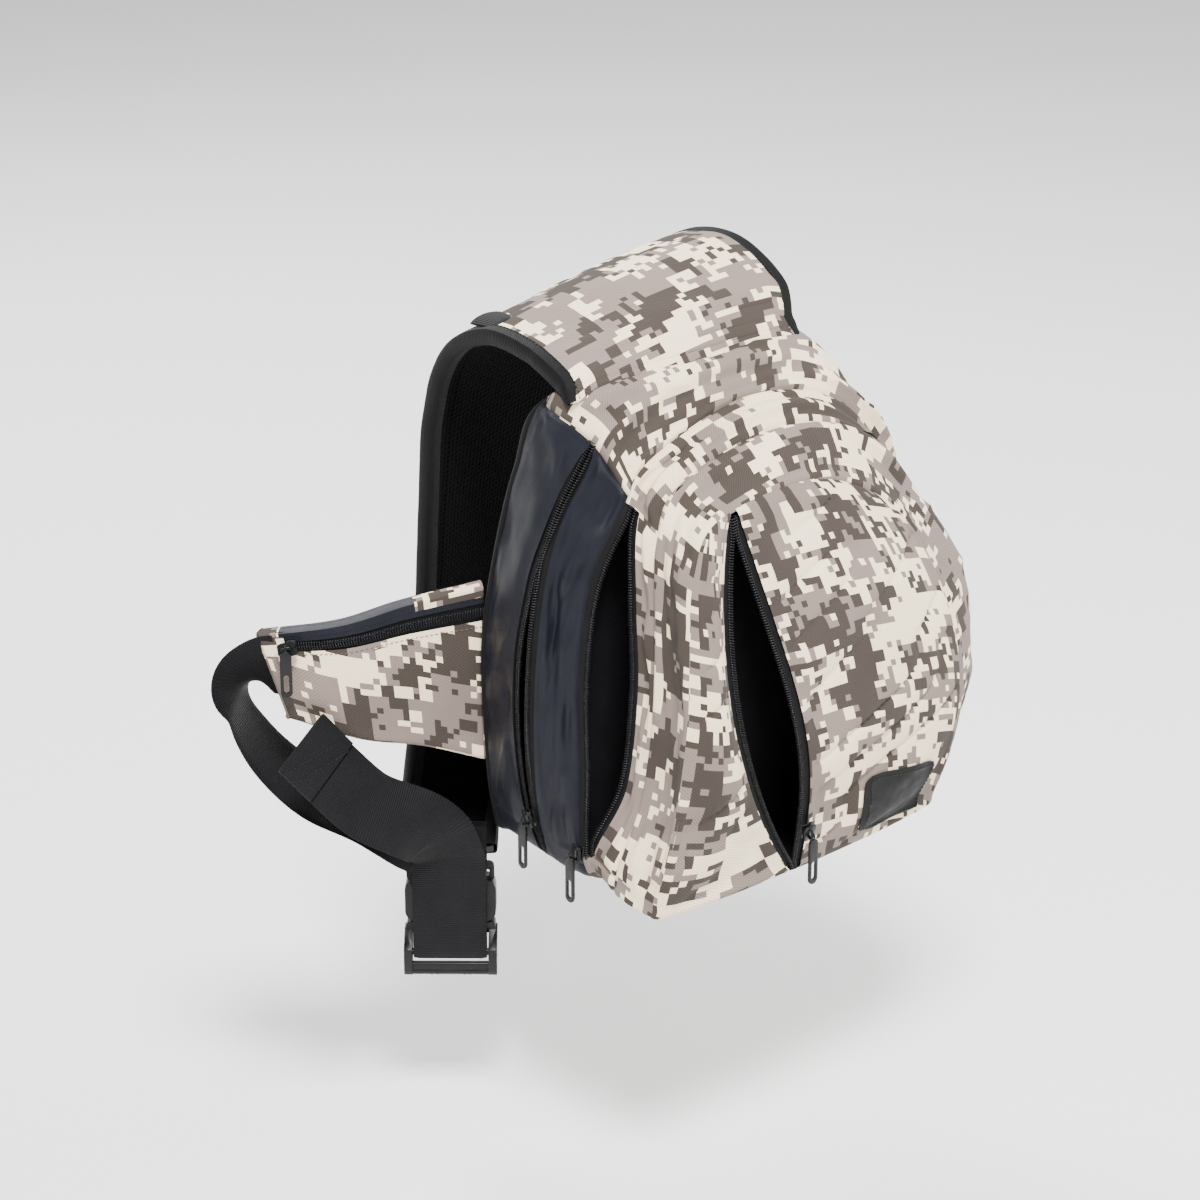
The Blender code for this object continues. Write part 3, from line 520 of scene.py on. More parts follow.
def texture(tree, place, scale, detail=2.0, roughness=0.5):
    return add(tree, "ShaderNodeTexNoise", {"Vector": place, "Scale": scale, "Detail": detail,
                                            "Roughness": roughness}).outputs[0]


def wave(tree, place, pitch, direction, distortion=0.0):
    """Parallel ridges a pitch apart in centimetres."""
    spread = 10 * math.sqrt(2) if direction == "DIAGONAL" else 20
    return add(tree, "ShaderNodeTexWave", {"Vector": place, "Scale": 2 * math.pi / (spread * pitch),
                                           "Distortion": distortion, "Detail Scale": 1.5},
               bands_direction=direction).outputs[1]


def bump(tree, shader, height, distance, strength=1.0):
    node = add(tree, "ShaderNodeBump", {"Height": height, "Distance": distance * CM, "Strength": strength})
    tree.links.new(node.outputs[0], shader.inputs["Normal"])


def weave_height(tree, place, pitch):
    """Twill: slanting ribs made of short yarns."""
    ribs = wave(tree, place, pitch, "DIAGONAL", 0.4)
    yarns = wave(tree, place, pitch * 0.62, "X", 0.3)
    return math_node(tree, "ADD", math_node(tree, "MULTIPLY", ribs, 0.75),
                     math_node(tree, "MULTIPLY", yarns, 0.25))


CREAM, TAUPE, SLATE = (0.97, 0.80, 0.56, 1), (0.225, 0.176, 0.152, 1), (0.054, 0.043, 0.036, 1)
CAMO_CELL = 0.42


def camo_cloth():
    """Blocks of three colours, large patches with edges that break up into smaller blocks."""
    made, tree, shader = new_material("camo_cloth", 0.85, Sheen_Weight=0.04, Sheen_Roughness=0.5,
                                      Specular_IOR_Level=0.12)
    place = cloth_place(tree)

    def blocks(size, offset, scale, detail):
        step = (size, size, size)
        snapped = add(tree, "ShaderNodeVectorMath", {0: place, 1: step}, operation="SNAP").outputs[0]
        moved = add(tree, "ShaderNodeVectorMath", {0: snapped, 1: offset}, operation="ADD").outputs[0]
        return texture(tree, moved, scale, detail, 0.6)

    def patch(offset, level):
        big = blocks(2 * CAMO_CELL, offset, 0.30, 2.0)
        small = math_node(tree, "SUBTRACT", blocks(CAMO_CELL, offset, 1.5, 1.0), 0.5)
        tall = math_node(tree, "SUBTRACT", blocks(2 * CAMO_CELL, (offset[1], offset[0], 3), 0.9, 1.0), 0.5)
        total = math_node(tree, "ADD", big, math_node(tree, "MULTIPLY", small, 0.42))
        total = math_node(tree, "ADD", total, math_node(tree, "MULTIPLY", tall, 0.36))
        return math_node(tree, "GREATER_THAN", total, level)

    colour = mix(tree, patch((31.3, 7.7, 1.5), 0.496), CREAM, TAUPE)
    colour = mix(tree, patch((3.1, 58.2, 6.5), 0.546), colour, SLATE)
    weave = weave_height(tree, place, 0.15)
    # painted shade: the colour is multiplied by the weave height, so the twill's grooves are painted darker
    # and its ridges lighter, on top of the bump from the same height
    painted_weave_shade = math_node(tree, "MULTIPLY_ADD", weave, 0.34, 0.80)
    cloudy = math_node(tree, "MULTIPLY_ADD", texture(tree, place, 0.12, 2.0), 0.30, 0.86)
    tone = math_node(tree, "MULTIPLY", painted_weave_shade, cloudy)
    grey = add(tree, "ShaderNodeCombineColor", {0: tone, 1: tone, 2: tone}).outputs[0]
    toned = add(tree, "ShaderNodeMix", {0: 1.0, 6: colour, 7: grey}, data_type="RGBA",
                blend_type="MULTIPLY").outputs[2]
    tree.links.new(toned, shader.inputs["Base Color"])
    bump(tree, shader, weave, 0.016, 0.8)
    return made


# How far plain cloth's colour swings: painted highlight on the weave's ridges and painted shade in its
# grooves, with random patchy tone.
DYE_AND_PAINTED_WEAVE_LIGHT = 0.35


def shades(colour, low, high, lift=0.0):
    """A darker and a lighter shade of a colour."""
    return tuple(c * low for c in colour) + (1,), tuple(c * high + lift for c in colour) + (1,)


def plain_cloth(name, colour, pitch, depth, roughness, sheen, kind="twill", gloss=0.12):
    """Dyed cloth: twill, ripstop or ribbed webbing."""
    made, tree, shader = new_material(name, roughness, Sheen_Weight=sheen, Sheen_Roughness=0.35,
                                      Specular_IOR_Level=gloss)
    place = cloth_place(tree)
    if kind == "ribbed":
        ribs = wave(tree, place, pitch, "Y")
        cords = wave(tree, place, pitch * 0.8, "X")
        height = math_node(tree, "MULTIPLY_ADD", cords, 0.25, math_node(tree, "MULTIPLY", ribs, 0.75))
    elif kind == "ripstop":
        height = math_node(tree, "MAXIMUM", wave(tree, place, pitch, "X", 0.6),
                           wave(tree, place, pitch, "Y", 0.6))
    else:
        height = weave_height(tree, place, pitch)
    patch_noise = texture(tree, place, 0.5, 3.0)
    # painted light: the weave's raised yarns are painted up to about twice as light (painted highlight) and
    # its grooves darker (painted shade), following the bump's height, its strength varying in random patches
    factor = math_node(tree, "MULTIPLY", height, patch_noise)
    darker, lighter = shades(colour, 1 - DYE_AND_PAINTED_WEAVE_LIGHT, 1 + 3 * DYE_AND_PAINTED_WEAVE_LIGHT, 0.001)
    tree.links.new(mix(tree, factor, darker, lighter), shader.inputs["Base Color"])
    bump(tree, shader, height, depth)
    return made


def air_mesh():
    """Knitted spacer mesh: staggered open holes in a thick black knit, the holes painted near black as
    painted shade in them.
    """
    made, tree, shader = new_material("air_mesh", 0.8, Sheen_Weight=0.01, Sheen_Roughness=0.4,
                                      Specular_IOR_Level=0.03)
    place = cloth_place(tree)
    cells = add(tree, "ShaderNodeTexVoronoi", {"Vector": place, "Scale": 3.0, "Randomness": 0.12},
                voronoi_dimensions="2D").outputs["Distance"]
    wall = add(tree, "ShaderNodeMapRange", {0: cells, 1: 0.22, 2: 0.42, 3: 0.0, 4: 1.0}).outputs[0]
    # painted shade: the holes are painted about twelve times darker than the knit between them, as shade in
    # the recesses
    tree.links.new(mix(tree, wall, (0.0004, 0.0004, 0.0004, 1), (0.0048, 0.0047, 0.005, 1)),
                   shader.inputs["Base Color"])
    bump(tree, shader, wall, 0.05)
    return made


def hard(name, colour, roughness, grain):
    """Moulded plastic or painted metal with a fine grain and rubbed edges."""
    made, tree, shader = new_material(name, roughness, Specular_IOR_Level=0.22)
    place = add(tree, "ShaderNodeTexCoord").outputs["Object"]
    speck = texture(tree, place, 900.0, 3.0)
    rubbed = texture(tree, place, 120.0, 4.0)
    tree.links.new(mix(tree, rubbed, *shades(colour, 0.7, 1.8)), shader.inputs["Base Color"])
    rough = add(tree, "ShaderNodeMapRange", {0: rubbed, 1: 0.3, 2: 0.7, 3: roughness - 0.08,
                                             4: roughness + 0.12})
    tree.links.new(rough.outputs[0], shader.inputs["Roughness"])
    bump(tree, shader, speck, grain)
    return made


FINISH = {
    "camo": camo_cloth(),
    "nylon": plain_cloth("black_nylon_cloth", (0.0055, 0.0062, 0.0105), 0.10, 0.010, 0.42, 0.02, "ripstop",
                         0.17),
    "lining": plain_cloth("black_lining_cloth", (0.004, 0.004, 0.005), 0.09, 0.008, 0.7, 0.02, "ripstop"),
    "webbing": plain_cloth("black_webbing", (0.0055, 0.0055, 0.0065), 0.15, 0.030, 0.62, 0.06, "ribbed"),
    "binding": plain_cloth("black_binding", (0.004, 0.004, 0.0045), 0.11, 0.018, 0.62, 0.05),
    "tape": plain_cloth("black_zip_tape", (0.004, 0.004, 0.0045), 0.08, 0.010, 0.6, 0.03, "ripstop"),
    "foam": plain_cloth("grey_foam", (0.05, 0.05, 0.05), 0.12, 0.010, 0.95, 0.0, "ripstop"),
    "mesh": air_mesh(),
    "coil": hard("black_coil", (0.008, 0.008, 0.009), 0.24, 0.0004),
    "thread": plain_cloth("black_thread", (0.015, 0.015, 0.016), 0.05, 0.006, 0.5, 0.3),
    "pale_thread": plain_cloth("tan_thread", (0.20, 0.16, 0.12), 0.05, 0.006, 0.6, 0.3),
    "plastic": hard("black_plastic", (0.004, 0.004, 0.0045), 0.34, 0.002),
    "metal": hard("black_metal", (0.005, 0.005, 0.0055), 0.28, 0.0006),
    "patch": hard("dark_patch", (0.005, 0.0055, 0.005), 0.7, 0.004),
}


# ---------------------------------------------------------------- the bag's cloth walls

def bump_between(t, ends):
    """0 at both ends of a mouth and 1 in its middle."""
    f = np.clip((t - ends[0]) / (ends[1] - ends[0]), 0, 1)
    return np.sin(np.pi * f) ** 0.7


def main_line(t):
    return 1.0 + 0.85 * fade((t - 2.9) / 1.6)


def main_lip_back(t):
    line = main_line(t)
    return line - 0.03 - MAIN_GAPE_BACK * (1 + 1.6 * (line - 1)) * bump_between(t, MAIN_MOUTH)


def main_lip_front(t):
    return main_line(t) + 0.03 + MAIN_GAPE_FRONT * bump_between(t, MAIN_MOUTH)


def middle_lip_front(t):
    return 3.94 + 0.1 * bump_between(t, MIDDLE_MOUTH)


def colour_seam(v):
    return 5.0 - 0.26 * v


def ridge(x, middle, width):
    return np.exp(-((x - middle) / width) ** 2)


def folds(v, t):
    """How far the cloth stands out from the plain skin: soft folds over the top and down both sides."""
    turn = np.mod(t, RING)
    left = fade((5.2 - turn) / 0.6) * fade((turn + 0.4) / 0.6)
    top = fade((turn - 4.6) / 0.5) * fade((8.6 - turn) / 0.9)
    right = fade((turn - 7.2) / 0.8) * fade((12.8 - turn) / 0.9)
    point = skin(v, t)
    run = point @ np.array((0.16, 0.75, 0.30))
    slow = noise(point * (0.10, 0.16, 0.10) + 3.3, 5)
    out = 0.42 * top * noise([turn * 0.8, v * 1.9 + 0.5 * slow], 11)
    out += 0.36 * right * noise([turn * 0.9 + 4, v * 2.2 + 0.6 * slow], 12)
    out += 0.45 * left * noise([turn * 0.8, v * 2.6 + 0.8 * slow + 0.9 * turn], 21)
    out += 0.16 * left * noise([turn * 2.6, v * 4.1 - 1.4 * turn], 22)
    creases = 1 - np.abs(noise([run * 0.42, turn * 1.5], 31))
    out += 0.16 * (top + right + 0.7 * left) * (creases ** 4 - 0.3)
    out += 0.035 * noise(point * (0.7, 0.9, 0.7), 41)
    out += 0.30 * top * ridge(v, 1.55, 0.22) * ridge(turn, 6.3, 1.6)
    out += 0.35 * (top + right) * ridge(v, 2.62, 0.2) - 0.25 * (top + right) * ridge(v, 3.02, 0.1)
    out += 0.28 * (top + right) * ridge(v, 4.02, 0.34)
    return out


def seam_profile(distance):
    """Cloth near a seam: a groove at it and a low roll beside it."""
    return -0.16 * np.exp(-(distance / 0.13) ** 2) + 0.055 * np.exp(-((distance - 0.42) / 0.22) ** 2)


def sheet_edges(plain, seams):
    """The distance to a sheet's nearest edge, and its seams: seams says which edges are sewn.

    The edges are the first row, the last row, the first column and the last column.
    """
    down, along = lengths(plain, 0), lengths(plain, 1)
    edges = (down, down[-1:] - down, along, along[:, -1:] - along)
    return np.min(edges, 0), sum(seam_profile(distance) for held, distance in zip(seams, edges) if held)


def bag_surface(v, t, seams):
    """A folded stretch of the skin, and the same stretch without its folds."""
    plain = skin(v, t)
    near, sewn = sheet_edges(plain, seams)
    out = folds(v, t) * fade(near / 1.1) + sewn
    return plain + skin_normal(v, t) * out[..., None], plain


def bag_panel(name, v_from, v_to, t_from, t_to, size, finish, seams, shift, body="bag"):
    f, g = grid((0, 1), size[0], (0, 1), size[1])
    t = t_from(f) + (t_to(f) - t_from(f)) * g
    v = v_from(t) + (v_to(t) - v_from(t)) * f
    outer, flat = bag_surface(v, t, seams)
    normals = grid_normals(outer)
    outward = skin_normal(v, t)
    normals *= np.sign((normals * outward).sum(-1, keepdims=True))
    slot = "camo_fabric" if finish == "camo" else "black_nylon"
    made = cloth(name, outer, SHELL_THICK, (finish, "lining"), normals, shift, flat)
    return settle(made, body, slot, name)


def constant(value):
    return lambda x: np.full_like(np.asarray(x, float), value)


def make_bag():
    bag_panel("rear_side_panel", constant(0.0), main_lip_back, constant(-1.2),
              lambda f: colour_seam(f * 1.8), (36, 110), "nylon", (True, False, True, True), (0, 0))
    bag_panel("main_wrap", constant(0.0), constant(3.0), lambda f: colour_seam(3.0 * f), constant(14.8),
              (90, 250), "camo", (True, True, True, True), (11, 40))
    bag_panel("side_band", main_lip_front, constant(3.0), constant(-1.2),
              lambda f: colour_seam(1.85 + 1.15 * f), (30, 110), "nylon", (False, True, True, True), (5, 9))
    side = bag_panel("middle_gusset_side", middle_lip_front, constant(4.6), constant(MIDDLE_MOUTH[0]),
                     constant(MIDDLE_MOUTH[1]), (14, 90), "camo", (False, True, True, False), (80, 0), "")
    wrap = bag_panel("middle_gusset_wrap", constant(3.0), constant(4.6), constant(MIDDLE_MOUTH[1]),
                     constant(15.9), (34, 220), "camo", (True, True, False, True), (120, 20), "")
    for piece in (side, wrap):
        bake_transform(piece)
    bag_panel("front_gusset", constant(4.6), constant(6.0), constant(0.0), constant(16.0),
              (34, 300), "camo", (True, True, False, False), (160, 70), "front_section")


# ---------------------------------------------------------------- the front face

def coons(bottom, top, left, right, fading=1):
    """A sheet between four edge curves; fading says how fast the lower and upper edges' bulges die away."""
    def point(a, b):
        low_bulge = bottom(a) - between(bottom(0), bottom(1), a)
        high_bulge = top(a) - between(top(0), top(1), a)
        return (between(left(b), right(b), a) + low_bulge * ((1 - b) ** fading)[..., None]
                + high_bulge * (b ** fading)[..., None])
    return point


def on_face_edge(t):
    return spline(FACE_EDGE, t, True)


def face_lip(side):
    """The open front zip: side = 1 for the right lip, -1 for the left lip, b from foot to top."""
    foot, head = on_face_edge(FACE_FOOT - 0.03 * side), on_face_edge(FACE_HEAD + 0.03 * side)

    def point(b):
        b = np.asarray(b, float)
        belly = np.sin(np.pi * np.clip(b, 0, 1))
        if side > 0:
            move = np.stack([0.35 * np.sin(2 * np.pi * b), -2.8 * belly, 0 * b], -1)
        else:
            move = np.stack([-3.9 * belly ** 0.8, -1.3 * belly, 0 * b], -1)
        return between(foot, head, b) + move
    return point


def face_right():
    return coons(lambda a: on_face_edge(13.97 - 1.37 * a),
                 lambda a: on_face_edge(FACE_HEAD + 0.03 + (7.37 - FACE_HEAD) * a), face_lip(1),
                 lambda b: on_face_edge(12.6 - 5.2 * b))


def face_left():
    return coons(lambda a: on_face_edge(-0.4 - 1.57 * a),
                 lambda a: on_face_edge(4.6 + (FACE_HEAD - 4.63) * a),
                 lambda b: on_face_edge(-0.4 + 5.0 * b), face_lip(-1), 6)


def face_surface(surface, a, b, sides):
    """The front face with its soft belly, its folds and its sewn edges."""
    plain = surface(a, b)
    belly = 0.9 * np.sin(np.pi * a) * np.sin(np.pi * b)
    near, sewn = sheet_edges(plain, (True, True) + sides)
    slant = plain @ np.array((0.55, 0, 0.35))
    across = plain @ np.array((-0.12, 0, 0.28))
    soft = 0.42 * noise([slant * 0.20, across * 0.9], 51)
    creases = (1 - np.abs(noise([slant * 0.16 + 5, across * 1.5 + 2], 52))) ** 5
    fine = 0.04 * noise(plain * 0.8, 53)
    out = belly + (soft - 0.30 * creases + fine) * fade(near / 1.3) + sewn
    return plain - BACKWARD * out[..., None], plain


def face_piece(name, surface, size, sewn, shift):
    b, a = grid((0, 1), size[0], (0, 1), size[1])
    outer, flat = face_surface(surface, a, b, sewn)
    normals = grid_normals(outer, -1)
    made = cloth(name, outer, SHELL_THICK, ("camo", "lining"), normals, shift, flat)
    return settle(made, "front_section", "camo_fabric", name), outer


def make_front_face():
    face_piece("front_face_left", face_left(), (110, 44), (True, False), (210, 10))
    _, right = face_piece("front_face_right", face_right(), (110, 84), (False, True), (260, 30))
    make_patch(right)


PATCH_COLUMNS, PATCH_ROWS = (0.27, 0.70), (0.05, 0.235)


def make_patch(face):
    """A plain rounded patch sewn to the lower right of the face, with no marks."""
    rows, cols = face.shape[:2]
    b, a = grid((-1, 1), 30, (-1, 1), 48)
    corner = 1 / np.maximum(1, (np.abs(a) ** 6 + np.abs(b) ** 6) ** (1 / 6))
    a, b = a * corner, b * corner
    at_a = (PATCH_COLUMNS[0] + (a + 1) / 2 * (PATCH_COLUMNS[1] - PATCH_COLUMNS[0])) * (cols - 1)
    at_b = (PATCH_ROWS[0] + (b + 1) / 2 * (PATCH_ROWS[1] - PATCH_ROWS[0])) * (rows - 1)
    i, j = at_b.astype(int), at_a.astype(int)
    fi, fj = (at_b - i)[..., None], (at_a - j)[..., None]
    on_face = ((face[i, j] * (1 - fi) + face[i + 1, j] * fi) * (1 - fj)
               + (face[i, j + 1] * (1 - fi) + face[i + 1, j + 1] * fi) * fj)
    reach = np.maximum(np.abs(a), np.abs(b))
    rise = 0.16 - 0.05 * fade((reach - 0.93) / 0.07) + 0.05 * ridge(reach, 0.86, 0.04)
    outer = on_face - BACKWARD * rise[..., None]
    normals = grid_normals(outer, -1)
    settle(cloth("label_patch", outer, 0.08, ("patch",), normals), "front_section", "label_patch",
           "label_patch")
    loop = np.concatenate([outer[2, 3:-3], outer[2:-2, -4], outer[-3, -4:2:-1], outer[-3:2:-1, 3]])
    row = stitches("label_stitching", loop - BACKWARD * 0.02, -BACKWARD, "thread")
    settle(row, "front_section", "label_patch")


# ---------------------------------------------------------------- zips

TAPE_WIDTH, TAPE_SUNK = 0.55, 0.05


def zip_half(name, lip, ahead, normals, room, body):
    """Tape and coil along one lip: ahead points into the opening, room is half of the free width."""
    reach = np.minimum(TAPE_WIDTH, np.maximum(room - 0.14, -0.25))[:, None]
    start = lip - ahead * 0.35 - normals * 0.16
    middle = lip - normals * (0.11 + TAPE_SUNK)
    far = lip + ahead * reach - normals * (0.12 + TAPE_SUNK)
    strip = np.stack([start, middle, middle + (far - middle) * 0.5, far], 0)
    tape = cloth("tape", strip, 0.06, ("tape",), like(normals, strip))
    teeth = coil(far + normals * 0.03, ahead, normals)
    made = join(name, [tape, teeth])
    return settle(made, body, "zip_chain", name)


def lip_zip(name, lip, other, ends, side, body):
    t = np.linspace(*ends, 150)
    v = lip(t)
    place, facing = skin(v, t), skin(other(t), t)
    ahead = unit(skin(v + 0.02 * side, t) - skin(v - 0.02 * side, t))
    room = np.linalg.norm(facing - place, axis=-1) / 2
    return zip_half(name, place, ahead, skin_normal(v, t), room, body)


def make_zips():
    low, high = MAIN_MOUTH
    ends = (low + 0.02, high + 0.1)
    lip_zip("main_zip_rear_half", main_lip_back, main_lip_front, ends, 1, "bag")
    lip_zip("main_zip_front_half", main_lip_front, main_lip_back, ends, -1, "bag")
    low, high = MIDDLE_MOUTH
    ends = (low - 0.1, high + 0.05)
    rear = constant(3.0)
    lip_zip("middle_zip_rear_half", rear, middle_lip_front, ends, 1, "bag")
    front = lip_zip("middle_zip_front_half", middle_lip_front, rear, ends, -1, "")
    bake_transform(front)
    b = np.linspace(0.005, 0.985, 150)
    right, left = face_lip(1)(b), face_lip(-1)(b)
    facing = like(-BACKWARD, right)
    across = unit(left - right)
    room = np.linalg.norm(left - right, axis=-1) / 2
    zip_half("front_zip_right_half", right, across, facing, room, "front_section")
    zip_half("front_zip_left_half", left, -across, facing, room, "front_section")


def circle_through(first, middle, last):
    a, b = first - last, middle - last
    across = np.cross(a, b)
    centre = last + np.cross((a @ a) * b - (b @ b) * a, across) / (2 * across @ across)
    return centre, unit(np.cross(first - centre, middle - centre))


def prism(name, outline, low, high, place, finish, bevel=0.04, hole=None):
    """An outline of (across, along) points made thick from low to high; place turns it into bag points."""
    loops = [np.asarray(loop, float) for loop in ([outline] if hole is None else [outline, hole])]
    count = len(loops[0])
    points, faces = [], []
    for height in (low, high):
        for loop in loops:
            points += [place(x, height, y) for x, y in loop]
    for k in range(count):
        n = (k + 1) % count
        span = count * len(loops)
        faces.append((k, n, n + span, k + span))
        if hole is not None:
            faces.append((n + count, k + count, k + count + span, n + count + span))
            faces.append((k, k + count, n + count, n))
            faces.append((k + span, n + span, n + count + span, k + count + span))
    if hole is None:
        faces.append(tuple(range(count))[::-1])
        faces.append(tuple(range(count, 2 * count)))
    made = add_mesh(name, points, faces, [finish])
    if bevel:
        soften(made, bevel)
    return made


def soften(piece, width):
    """Rounds the sharp edges of a hard piece."""
    edge = piece.modifiers.new("Rounding", "BEVEL")
    edge.width = width * CM
    edge.segments = 3
    edge.limit_method = "ANGLE"
    edge.angle_limit = math.radians(40)
    return bake(piece)


def bake(piece):
    """Applies a piece's modifiers."""
    bpy.context.view_layer.update()
    depsgraph = bpy.context.evaluated_depsgraph_get()
    mesh = bpy.data.meshes.new_from_object(piece.evaluated_get(depsgraph))
    piece.modifiers.clear()
    piece.data = mesh
    mesh.shade_smooth()
    mesh.set_sharp_from_angle(angle=math.radians(35))
    return piece


def stadium(half_wide, low, high, sides):
    turn = 2 * np.pi * (np.arange(sides) + 0.5) / sides
    reach = (high - low) / 2 - half_wide
    return np.stack([half_wide * np.sin(turn), (low + high) / 2 + half_wide * np.cos(turn)
                     + np.copysign(reach, np.cos(turn))], -1)


PULL_LENGTH, PULL_WIDTH, PULL_THICKNESS = 3.6, 0.78, 0.18
PULL_LEAN = 0.035  # how far a tab hangs off its pivot, so it clears the slider at its lowest
SLIDER_THICK = 0.42


def make_slider(zip_name, hang_axis):
    """A slider with its two plates, post and loop, and the pull tab that swings on the loop."""
    first, middle, last = (np.array(p, float) for p in SLIDER_PATHS[zip_name])
    centre, axis = circle_through(first, middle, last)
    outward = unit(first - centre)
    along = np.cross(axis, outward)

    def at(x, out, y):
        return first + axis * x + outward * out + along * y

    shield = [(-0.30, -0.62), (0.30, -0.62), (0.40, -0.45), (0.42, -0.05), (0.50, 0.30), (0.46, 0.55),
              (0.24, 0.64), (0.0, 0.50), (-0.24, 0.64), (-0.46, 0.55), (-0.50, 0.30), (-0.42, -0.05),
              (-0.40, -0.45)]
    plates = [prism("plate", shield, low, high, at, "metal", 0.035)
              for low, high in ((-0.20, -0.11), (0.11, 0.21))]
    post = prism("post", [(-0.09, 0.1), (0.09, 0.1), (0.13, 0.3), (0, 0.42), (-0.13, 0.3)], -0.13, 0.13, at,
                 "metal", 0)
    flanges = [prism("flange", [(s * 0.36, -0.42), (s * 0.43, -0.42), (s * 0.47, 0.35), (s * 0.40, 0.35)],
                     0.02, 0.13, at, "metal", 0) for s in (-1, 1)]
    turn = np.linspace(0, np.pi, 14)
    arch = np.array([at(0, 0.19 + 0.30 * math.sin(k), 0.40 * math.cos(k)) for k in turn])
    loop = sweep("loop", arch, like(axis, arch), band_section(0.2, 0.1, 8), "metal")
    body = f"{zip_name}_slider"
    settle(join(f"{zip_name}_zip_slider", plates + [post, loop] + flanges), body, "black_metal",
           f"{zip_name}_zip_slider")

    hang = unit(np.array(hang_axis, float))
    down = np.array((0, 0, -1.0))
    away = np.cross(hang, down)
    pivot = first + outward * (SLIDER_THICK / 2 + 0.32)

    def hung(x, out, y):
        return pivot + hang * x + away * out + down * y

    thick = PULL_THICKNESS / 2
    sides = 48
    outline = stadium(PULL_WIDTH / 2, 0.15, PULL_LENGTH - 0.3, sides)
    outline[:, 0] *= 1 - 0.22 * ridge(outline[:, 1], 1.25, 0.5)
    tab = prism("tab", outline, PULL_LEAN - thick, PULL_LEAN + thick, hung, "metal", 0.05,
                stadium(0.17, 1.75, 2.95, sides))
    ring = np.array([hung(0.0, 0.13 * math.cos(k), 0.02 + 0.2 * math.sin(k) * 1.1)
                     for k in np.linspace(0, 2 * np.pi, 20)[:-1]])
    eye = sweep("eye", ring, like(hang, ring), circle(0.06, 8), "metal", closed=True)
    shoulders = [sweep("shoulder", [hung(s * 0.05, 0, 0.2), hung(s * 0.16, 0, 0.34), hung(s * 0.24, 0, 0.5)],
                       [away] * 3, circle(0.075, 8), "metal") for s in (-1, 1)]
    settle(join(f"{zip_name}_zip_pull", [tab, eye] + shoulders), f"{zip_name}_pull", "black_metal",
           f"{zip_name}_zip_pull")


# ---------------------------------------------------------------- the shoulder strap

# The binding's folded tape in section: across the strap from its edge, and out from its surface.
BINDING_OUTLINE = np.array([(0.85, 0.10), (0.3, 0.13), (0.0, 0.10), (-0.14, -0.1), (-0.18, -0.45),
                            (-0.14, -0.8), (0.0, -1.0), (0.3, -1.03), (0.85, -1.0), (0.85, -0.94),
                            (0.25, -0.95), (0.0, -0.9), (-0.09, -0.75), (-0.11, -0.45), (-0.08, -0.15),
                            (0.0, 0.0), (0.25, 0.04), (0.85, 0.04)])
STRAP_END = 9.97


def strap_thin(s):
    """The strap is thinner where it starts in the bag's top."""
    return 0.35 + 0.65 * fade(s / 0.9)


def strap_frame(s, a):
    """A point on the strap's outer surface, its normal and its width direction; s starts in the bag's top."""
    s, a = np.broadcast_arrays(np.asarray(s, float), np.asarray(a, float))

    def at(place):
        left, right = spline(STRAP_LEFT, place), spline(STRAP_RIGHT, place)
        return between(left, right, a), right - left
    step = 0.05
    point, across = at(s)
    along = at(s + step)[0] - at(s - step)[0]
    return point, unit(np.cross(across, along)), unit(across)


def strap_surface(s, a, depth, lively=1.0):
    point, normal, _ = strap_frame(s, a)
    crown = STRAP_CROWN * np.sin(np.pi * np.clip(a, 0, 1))
    edge = fade(np.minimum(a, 1 - a) / 0.10)
    puff = 0.10 * edge
    sag = 0.16 * noise([s * 1.3, a * 2.2 + 0.3 * s], 61) * edge
    creased = 0.10 * ((1 - np.abs(noise([s * 2.4, a * 1.1], 62))) ** 5) * edge
    lift = crown + lively * (puff + sag - creased) - depth
    return point + normal * lift[..., None]


